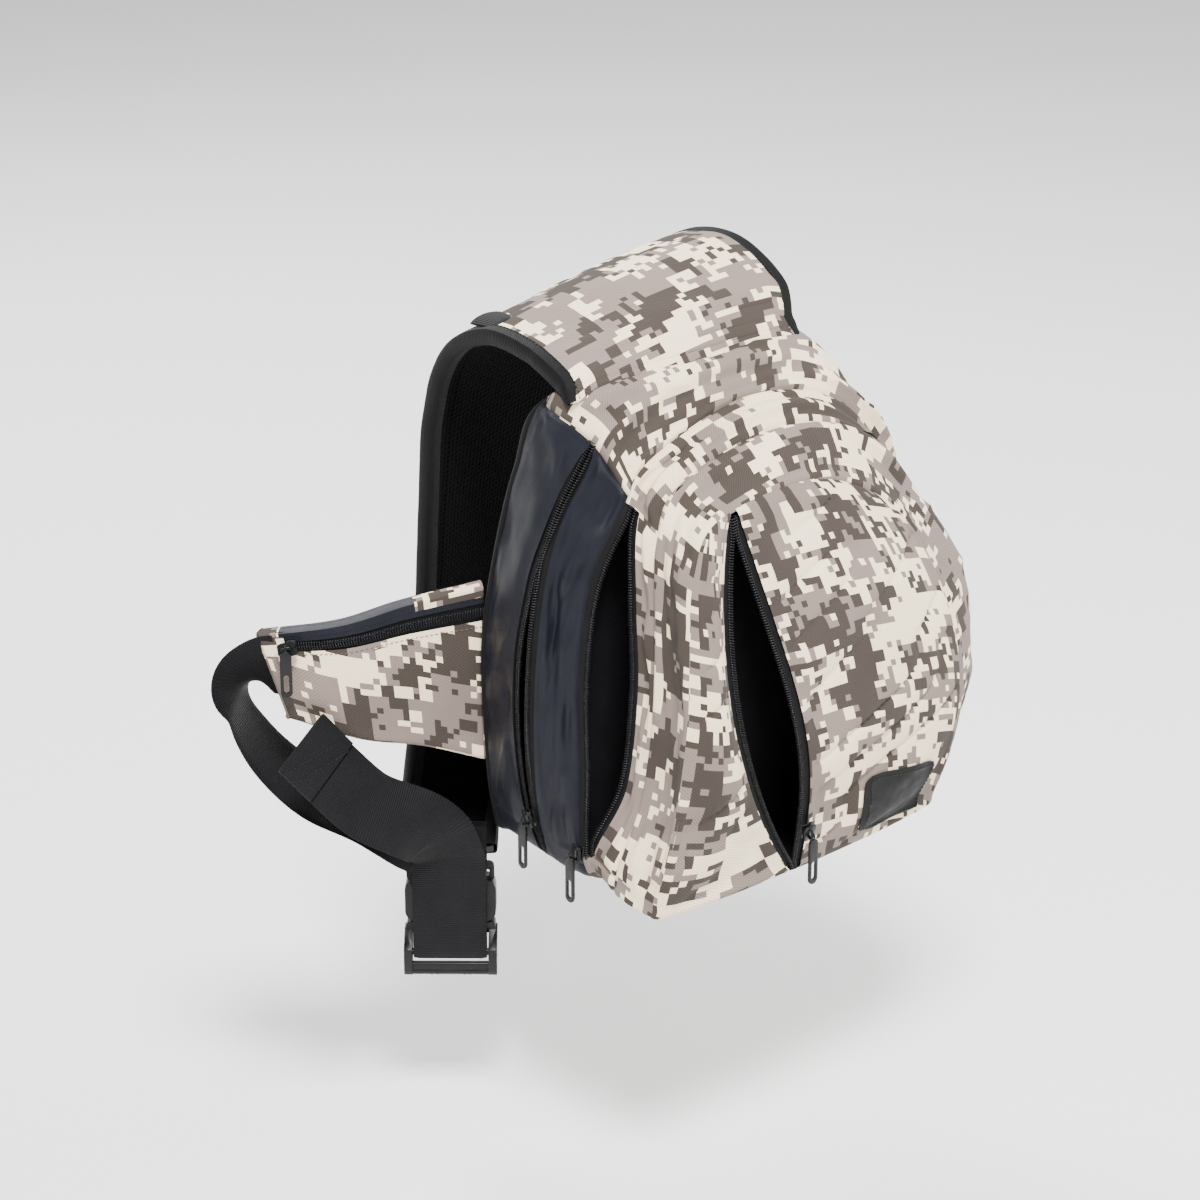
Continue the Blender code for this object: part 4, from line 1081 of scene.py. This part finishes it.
def make_strap():
    s, a = grid((0, STRAP_END), 190, (0, 1), 54)
    thin = strap_thin(s)
    _, normal, _ = strap_frame(s, a)
    shell = strap_surface(s, a, 0.0 * s)
    settle(cloth("strap_shell", shell, 0.10, ("camo", "lining"), normal, (320, 20)), "bag", "camo_fabric",
           "strap_shell")

    seam_at = 6.95
    lining = strap_surface(s, a, 0.92 * thin, 0.0)
    puff = 0.14 * np.clip(np.sin(np.pi * a), 0, 1) ** 0.5 * (1 - ridge(s, seam_at, 0.06))
    puff = puff - 0.10 * ridge(a, 0.075, 0.012) - 0.10 * ridge(a, 0.925, 0.012)
    lining = lining - normal * puff[..., None]
    settle(cloth("strap_lining", lining, 0.10, ("mesh",), -normal, (10, 10)), "bag", "air_mesh",
           "strap_lining")

    foam_top = strap_surface(s, 0.02 + 0.96 * a, 0.14 + 0.0 * s)
    foam = cloth("strap_foam", foam_top, 0.62, ("foam",), normal * thin[..., None])
    settle(foam, "bag", "foam", "strap_foam")

    for name, edge, inward in (("strap_binding_left", 0.0, 1), ("strap_binding_right", 1.0, -1)):
        at = np.linspace(0.05, STRAP_END, 260)
        point, up, across = strap_frame(at, np.full_like(at, edge))
        slack = 0.05 * noise([at * 3.0, at * 0], 63)
        sections = np.broadcast_to(BINDING_OUTLINE, (len(at),) + BINDING_OUTLINE.shape).copy()
        sections[..., 1] *= strap_thin(at)[:, None]
        sections[..., 0] += slack[:, None]
        points = (point[:, None] + (across * inward)[:, None] * sections[..., :1]
                  + up[:, None] * sections[..., 1:])
        bound = band_from_grid(name, points, "binding")
        settle(bound, "bag", "webbing", name)
        row_point = point + across * inward * 0.72 + up * 0.13
        settle(stitches(name + "_stitching", row_point, up, "thread"), "bag", "webbing")

    for height in (-0.07, 0.07):
        b = np.linspace(0.09, 0.91, 60)
        spot, up, _ = strap_frame(np.full_like(b, seam_at + height), b)
        crown = STRAP_CROWN * np.sin(np.pi * b) - 0.93
        name = "strap_cross_seam_" + ("lower" if height > 0 else "upper")
        row = stitches(name, spot + up * crown[:, None], -up, "thread")
        settle(row, "bag", "webbing")
    make_side_tab()


def band_from_grid(name, points, finish):
    """A closed tube of cloth from rings of points, with centimetres along and round it as its UVs."""
    uv = np.stack([lengths(points, 1), lengths(points, 0)], -1).reshape(-1, 2)
    return add_mesh(name, points.reshape(-1, 3), tube_faces(*points.shape[:2]), [finish], uvs=uv)


def make_side_tab():
    """A folded webbing tab on the strap's upper left."""
    points = []
    for a, lift in ((0.02, 0.16), (0.03, 0.26), (0.05, 0.36), (0.08, 0.38), (0.105, 0.30), (0.12, 0.2)):
        spot, up, _ = strap_frame(np.array([3.15]), np.array([a]))
        points.append((spot + up * lift)[0])
    path = spline(points, np.linspace(0, 5, 24))
    settle(sweep("strap_side_tab", path, like(BACKWARD, path), band_section(2.2, 0.14), "webbing"), "bag",
           "webbing", "strap_side_tab")


# ---------------------------------------------------------------- the hip wing

def wing_full(s, b):
    """How far the wing's filling stands out."""
    return 0.55 * np.sin(np.pi * s / 3) ** 0.6 * np.sin(np.pi * np.clip(b / 0.95, 0, 1))


def wing_surface(s, b, depth):
    """s from root to tip, b from bottom to top; past 0, 1 and the tip the cloth wraps to the back."""
    s, b = np.broadcast_arrays(np.asarray(s, float), np.asarray(b, float))
    depth = np.broadcast_to(np.asarray(depth, float), s.shape)
    wrap = np.clip(-b, 0, 1) + np.clip(b - 1, 0, 1) + np.clip(s - 3, 0, 1)
    inside_b, inside_s = np.clip(b, 0, 1), np.clip(s, 0, 3)
    low, high = spline(WING_BOTTOM, inside_s), spline(WING_TOP, inside_s)

    def middle(place):
        return spline(WING_TOP, place) + spline(WING_BOTTOM, place)
    along = middle(inside_s + 0.1) - middle(inside_s - 0.1)
    front = unit(np.stack([-along[..., 1], along[..., 0], 0 * along[..., 0]], -1))
    front *= -np.sign(front[..., 1:2])
    full = wing_full(inside_s, inside_b)
    soft = 0.12 * noise([inside_s * 2.0, inside_b * 2.2], 71) * fade(np.minimum(
        np.minimum(inside_b, WING_ZIP_AT - inside_b) / 0.12, np.minimum(inside_s, 3 - inside_s) / 0.25))
    point = between(low, high, inside_b) + front * (full + soft - depth - 1.42 * wrap)[..., None]
    swell = np.where(b > 1, 0.12, 0.35) * np.sin(np.pi * np.clip(wrap, 0, 1))
    point[..., 2] += swell * (np.sign(np.clip(b - 1, 0, 1)) - np.sign(np.clip(-b, 0, 1)))
    tip = unit(middle(np.full_like(s, 3.0)) - middle(np.full_like(s, 2.8)))
    return point + tip * (swell * (s > 3))[..., None], front


def make_wing():
    low, high = WING_ZIP_AT - 0.05, WING_ZIP_AT + 0.05

    def panel(name, s_ends, b_ends, size, depth, thickness, finishes, slot, shift=(0, 0), pick=None,
              nodes=()):
        b, s = grid(b_ends, size[0], s_ends, size[1])
        outer, front = wing_surface(s, b, depth)
        normals = grid_normals(outer)
        inside = (np.abs(b - 0.5) < 0.5) & (s < 3)
        flip = np.sign((normals * front).sum(-1)[inside].mean())
        faced = None if pick is None else pick(s, b)
        made = cloth(name, outer, thickness, finishes, normals * flip, shift, faced=faced)
        return settle(made, "bag", slot, *nodes)

    panel("wing_pocket_panel", (0, 3.98), (-0.98, low), (70, 110), 0.0, SHELL_THICK, ("camo", "lining"),
          "camo_fabric", (400, 10), nodes=("wing_pocket_panel",))
    panel("wing_top_band", (0, 3.98), (high, 1.98), (30, 110), 0.0, SHELL_THICK,
          ("nylon", "camo", "lining"), "black_nylon", nodes=("wing_top_band",),
          pick=lambda s, b: (b > high + 0.035 * s) & (s < 0.9) | (s > 2.74))
    panel("wing_tip_cover", (2.72, 3.98), (low - 0.05, high + 0.06), (10, 44), -0.07, 0.14,
          ("camo", "lining"), "camo_fabric", (430, 10))
    b, s = grid((0.04, 0.96), 24, (0.05, 2.95), 40)
    top, front = wing_surface(s, b, 0.3)
    foam = cloth("wing_foam", top, 0.9, ("foam",), front)
    settle(foam, "bag", "foam", "wing_foam")
    b, s = grid((0, 1), 50, (0, 3), 90)
    flat, front = wing_surface(s, b, 1.46)
    edge = fade(np.minimum(np.minimum(b, 1 - b) / 0.15, np.minimum(s, 3 - s) / 0.3))
    back = flat - front * (wing_full(s, b) + 0.25 * edge)[..., None]
    settle(cloth("wing_back_lining", back, 0.1, ("mesh",), -front), "bag", "air_mesh", "wing_back_lining")

    run = np.linspace(0.0, 2.80, 120)
    middle, front = wing_surface(run, np.full_like(run, WING_ZIP_AT), 0.10)
    up = unit(wing_surface(run, np.full_like(run, WING_ZIP_AT + 0.05), 0.1)[0] - middle)
    for name, side in (("wing_zip_lower_half", -1), ("wing_zip_upper_half", 1)):
        strip = np.stack([middle + up * side * width for width in (0.95, 0.5, 0.13)], 0) - front * 0.02
        tape = cloth("tape", strip, 0.05, ("tape",), like(front, strip))
        teeth = coil(middle + up * side * 0.12 + front * 0.04, up * side, front)
        settle(join(name, [tape, teeth]), "bag", "zip_chain", name)
    for name, at, finish, slot in (("wing_stitching_lower", low - 0.035, "pale_thread", "camo_fabric"),
                                   ("wing_stitching_upper", high + 0.03, "thread", "black_nylon")):
        spots, front = wing_surface(run, np.full_like(run, at), -0.01)
        settle(stitches(name, spots, front, finish), "bag", slot)


# ---------------------------------------------------------------- belt and buckle

def at_buckle(wide, face, up):
    return BUCKLE + BUCKLE_WIDE * wide + BUCKLE_FACE * face + np.array((0, 0, up))


def buckle_prism(name, outline, low, high, bevel=0):
    return prism(name, outline, low, high, at_buckle, "plastic", bevel)


def buckle_block(name, low, high):
    corners = [(low[0], low[2]), (high[0], low[2]), (high[0], high[2]), (low[0], high[2])]
    return buckle_prism(name, corners, low[1], high[1])


def combine(target, tools, operation):
    for tool in tools:
        change = target.modifiers.new(tool.name, "BOOLEAN")
        change.operation = operation
        change.object = tool
        bake(target)
        bpy.data.objects.remove(tool, do_unlink=True)
    return target


CORNER_STEPS = 6


def rounded(half_wide, low, high, radius):
    """The outline of a rounded rectangle, as (across, up) points."""
    outline = []
    for x, y, start in ((half_wide - radius, high - radius, 0), (-half_wide + radius, high - radius, 1),
                        (-half_wide + radius, low + radius, 2), (half_wide - radius, low + radius, 3)):
        for k in range(CORNER_STEPS + 1):
            turn = (start + k / CORNER_STEPS) * math.pi / 2
            outline.append((x + radius * math.cos(turn), y + radius * math.sin(turn)))
    return outline


# The side rail of the buckle's tongue, seen from the side: towards its face, and up.
RAIL_OUTLINE = ((-0.3, -5.2), (0.55, -5.2), (1.9, -6.2), (1.95, -7.7), (1.75, -8.1), (1.2, -8.15),
                (0.95, -7.6), (0.5, -6.2), (-0.3, -5.6))


def make_buckle():
    housing = buckle_prism("buckle_housing", rounded(3.05, -4.65, -1.55, 0.75), -0.72, 0.72)
    top = buckle_prism("top", rounded(2.95, -1.9, -0.5, 0.35), -0.2, 0.2)
    combine(housing, [top], "UNION")
    cavity = buckle_block("cavity", (-2.62, -0.42, -4.9), (2.62, 0.42, -1.95))
    slot = buckle_prism("slot", rounded(2.62, -1.5, -1.0, 0.12), -1.0, 1.0)
    windows = buckle_block("windows", (-3.4, -0.3, -3.75), (3.4, 0.3, -2.45))
    panel = buckle_prism("panel", rounded(1.7, -4.1, -2.3, 0.5), 0.64, 1.0)
    combine(housing, [cavity, slot, windows, panel], "DIFFERENCE")
    settle(soften(housing, 0.08), "bag", "black_plastic", "buckle_housing")

    shoulder = buckle_prism("shoulder", rounded(3.0, -5.5, -4.72, 0.3), -0.5, 0.62)
    guide = buckle_block("guide", (-0.45, -0.25, -4.9), (0.45, 0.25, -2.0))
    combine(shoulder, [guide], "UNION")
    for side in (-1, 1):
        inner, outer = sorted((side * 2.55, side * 3.12))
        rail = prism("rail", RAIL_OUTLINE, inner, outer, lambda face, wide, up: at_buckle(wide, face, up),
                     "plastic", 0)
        combine(shoulder, [rail], "UNION")
    soften(shoulder, 0.07)
    bars = []
    for face, up, radius in ((1.45, -6.5, 0.24), (1.5, -7.85, 0.3)):
        ends = [at_buckle(x, face, up) for x in np.linspace(-2.75, 2.75, 12)]
        bars.append(sweep("bar", ends, like(BUCKLE_FACE, ends), circle(radius, 20), "plastic"))
    ribs = [[at_buckle(x, 1.5, -7.87), at_buckle(x + 0.07, 1.5, -7.87)] for x in (-1.3, -0.9, 0.9, 1.3)]
    ribs = [sweep("rib", ends, like(BUCKLE_FACE, ends), circle(0.32, 20), "plastic") for ends in ribs]
    bars.append(buckle_prism("lip", rounded(2.75, -8.1, -7.22, 0.2), 1.28, 1.74, 0.12))
    settle(join("buckle_tongue", [shoulder] + bars + ribs), "buckle_tongue", "black_plastic",
           "buckle_tongue")

    outline = ((1.85, -4.68), (2.2, -4.68), (2.25, -3.6), (2.56, -3.45), (2.5, -2.6), (2.1, -2.05),
               (1.95, -2.05))
    for name, side in (("left", -1), ("right", 1)):
        prong = buckle_prism("prong", [(side * x, y) for x, y in outline], -0.33, 0.33, 0.05)
        prong.name = f"buckle_prong_{name}"
        settle(prong, f"prong_{name}", "black_plastic", f"buckle_prong_{name}")


def stations(keys, count):
    at = np.linspace(0, len(keys) - 1, count)
    return spline([p for p, _ in keys], at), spline([w for _, w in keys], at)


def make_belt():
    """One length of ribbed webbing: wing tip, under the adjuster bar, up in front and back as a tail."""
    first, first_wide = stations(BELT, 78)
    bar_face, radius = 1.45, 0.46
    down = [at_buckle(0, bar_face - radius, z) for z in np.linspace(-2.0, -6.2, 8)]
    turn = [at_buckle(0, bar_face - radius * math.cos(k), -6.5 - radius * math.sin(k))
            for k in np.linspace(0, math.pi, 14)]
    up = [at_buckle(0, bar_face + radius, z) for z in np.linspace(-6.2, 0.5, 12)]
    last, last_wide = stations(TAIL, 50)
    middle = np.array(down + turn + up)
    centres = np.concatenate([first, middle, last])
    wides = np.concatenate([first_wide, like(BUCKLE_WIDE, middle), last_wide])
    centres, wides = even(centres, wides, 240)
    belt = sweep("belt_webbing", centres, wides, band_section(4.9, 0.17, 16), "webbing")
    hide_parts("belt_webbing")
    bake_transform(belt)

    ends = centres[-14:]
    side = unit(wides[-14:])
    ahead = unit(np.gradient(ends, axis=0))
    over = np.cross(ahead, side)
    over *= np.sign((over @ BUCKLE_FACE)[:, None])
    hem = sweep("belt_hem", ends + over * 0.19, side, band_section(4.95, 0.2, 16), "webbing")
    settle(hem, "bag", "webbing")
    for name, at in (("belt_hem_stitching_outer", 3), ("belt_hem_stitching_inner", 7)):
        row = np.array([ends[at] + over[at] * 0.3 + side[at] * x for x in np.linspace(-2.3, 2.3, 40)])
        settle(stitches(name, row, over[at], "thread"), "bag", "webbing")

    wrap = [at_buckle(0, 0.42, z) for z in np.linspace(2.2, -0.4, 8)]
    wrap += [at_buckle(0, 0.36 * math.cos(k), -0.75 - 0.42 * math.sin(k))
             for k in np.linspace(0, math.pi, 12)]
    wrap += [at_buckle(0, -0.42, z) for z in np.linspace(-0.4, 2.2, 8)]
    settle(sweep("strap_end_webbing", wrap, like(BUCKLE_WIDE, wrap), band_section(4.9, 0.15, 16),
                 "webbing"), "bag", "webbing", "strap_end_webbing")


def even(centres, wides, count):
    """The same run with evenly spread points, its corners eased."""
    run = run_along(centres)
    out = [interpolate(np.linspace(0, run[-1], count), run, track) for track in (centres, wides)]
    for track in out:
        for _ in range(3):
            track[1:-1] = 0.25 * track[:-2] + 0.5 * track[1:-1] + 0.25 * track[2:]
    return out


# ---------------------------------------------------------------- padded back and inner walls

def ring_sheet(ring):
    """A sheet across one of the bag's outlines."""
    return coons(lambda a: spline(ring, -1 - 2 * a, True),
                 lambda a: spline(ring, 5 + 2 * a, True),
                 lambda b: spline(ring, -1 + 6 * b, True),
                 lambda b: spline(ring, 13 - 6 * b, True))


def inner_wall(name, ring, shift, body, slack, seed, inset):
    """A slack wall of lining across one of the bag's outlines."""
    b, a = grid((inset, 1 - inset), 60, (inset, 1 - inset), 50)
    middle = ring_sheet(ring)(a, b) + BACKWARD * shift
    middle[..., 1] += slack * noise([a * 3, b * 3], seed)
    wall = cloth(name, middle, 0.08, ("lining",), like(BACKWARD, middle))
    return settle(wall, body, "lining", name)


def make_back():
    """Three ribs of air mesh over foam, with sewn channels and a tape round the edge."""
    b, a = grid((0, 1), 150, (0, 1), 130)
    flat = ring_sheet(BACK)(a, b)
    low = flat[..., 2] < BACK_FLAT_TOP
    flat[..., 1] = np.where(low, BACK_Y, flat[..., 1])
    edge = fade(np.minimum(np.minimum(a, 1 - a), np.minimum(b, 1 - b)) / 0.08)
    channels = 1 - sum(ridge(a, at, 0.018) for at in (0.34, 0.66))
    rows = 1 - 0.8 * sum(ridge(b, at, 0.012) for at in (0.2, 0.4, 0.6, 0.8)) * ((a < 0.32) | (a > 0.68))
    puff = 0.85 * edge * np.clip(channels, 0, 1) ** 0.7 * rows * np.where((a > 0.34) & (a < 0.66), 0.45, 1.0)
    outer = flat + BACKWARD * (0.02 + puff)[..., None]
    normals = grid_normals(outer, 1)
    settle(cloth("back_mesh_cover", outer, 0.1, ("mesh",), normals), "bag", "air_mesh", "back_mesh_cover")

    foam_top = (flat + BACKWARD * (puff * 0.8 - 0.12)[..., None])[6:-6, 6:-6]
    foam = cloth("back_foam", foam_top, 0.66, ("foam",), like(BACKWARD, foam_top))
    settle(foam, "bag", "foam", "back_foam")
    inner_wall("back_lining", BACK, -0.95, "bag", 0.08, 81, 0.02)

    t = np.linspace(0, RING, 400)[:-1]
    edge_line = skin(0.03, t)
    outward = skin_normal(0.03 + 0 * t, t)
    tape = sweep("back_edge_tape", edge_line + outward * 0.02, like(BACKWARD, edge_line),
                 circle(0.24, 12, 0.8), "binding", closed=True)
    settle(tape, "bag", "webbing")


def make_inside():
    make_back()
    inner_wall("main_divider", CREST, -0.1, "bag", 0.2, 82, 0.06)
    inner_wall("middle_divider", FOLD_FRONT, -1.5, "front_section", 0.1, 83, 0.05)


# ---------------------------------------------------------------- stage, light and camera

VIEW_TURN, VIEW_RISE = math.radians(42.5), math.radians(20.3)
VIEW_DISTANCE = 200.0
VIEW_CENTRE = (-9.4, 9.0, 18.4)
LENS = 95.49
LIGHT_TARGET = (0, -0.1, -0.2)


def area_light(name, place, size, power):
    """A soft light; the place is in metres, the power in watts."""
    light = bpy.data.lights.new(name, "AREA")
    light.size = size
    light.energy = power
    lamp = new_object(name, light)
    lamp.location = place
    lamp.rotation_euler = (Vector(LIGHT_TARGET) - Vector(place)).to_track_quat("-Z", "Y").to_euler()


def make_stage():
    level = math.cos(VIEW_RISE)
    forward = Vector((math.sin(VIEW_TURN) * level, math.cos(VIEW_TURN) * level, -math.sin(VIEW_RISE)))
    camera = new_object("camera", bpy.data.cameras.new("camera"))
    camera.location = Vector(world(VIEW_CENTRE)) - forward * VIEW_DISTANCE * CM
    camera.rotation_euler = forward.to_track_quat("-Z", "Y").to_euler()
    camera.data.lens = LENS
    camera.data.sensor_width = 36  # millimetres, like the lens
    bpy.context.scene.camera = camera

    mesh = bpy.data.meshes.new("floor")
    half, ground = 12.0, CAD_BOX[0].z - 0.10
    mesh.from_pydata([(-half, -half, ground), (half, -half, ground), (half, half, ground),
                      (-half, half, ground)], [], [(0, 1, 2, 3)])
    pale, _, shader = new_material("pale_floor", 0.9)
    shader.inputs["Base Color"].default_value = (0.93, 0.93, 0.93, 1)
    mesh.materials.append(pale)
    floor = new_object("floor", mesh)

    sky = bpy.data.worlds.new("studio")
    sky.use_nodes = True
    sky.node_tree.nodes["Background"].inputs[0].default_value = (1, 1, 1, 1)
    sky.node_tree.nodes["Background"].inputs[1].default_value = 0.85
    bpy.context.scene.world = sky
    area_light("key", (-0.9, -1.3, 2.6), 0.9, 240)
    area_light("fill", (2.4, -1.4, 0.9), 1.6, 60)
    area_light("rim", (0.6, 2.2, 1.8), 1.2, 90)


def main():
    make_stage()
    make_bag()
    make_front_face()
    make_zips()
    for zip_name, hang in (("main", (0, 1, 0)), ("middle", (0, 1, 0)), ("front", (-1, 0, 0)),
                           ("wing", (-0.8, 0.6, 0))):
        make_slider(zip_name, hang)
    make_strap()
    make_wing()
    make_buckle()
    make_belt()
    make_inside()


main()
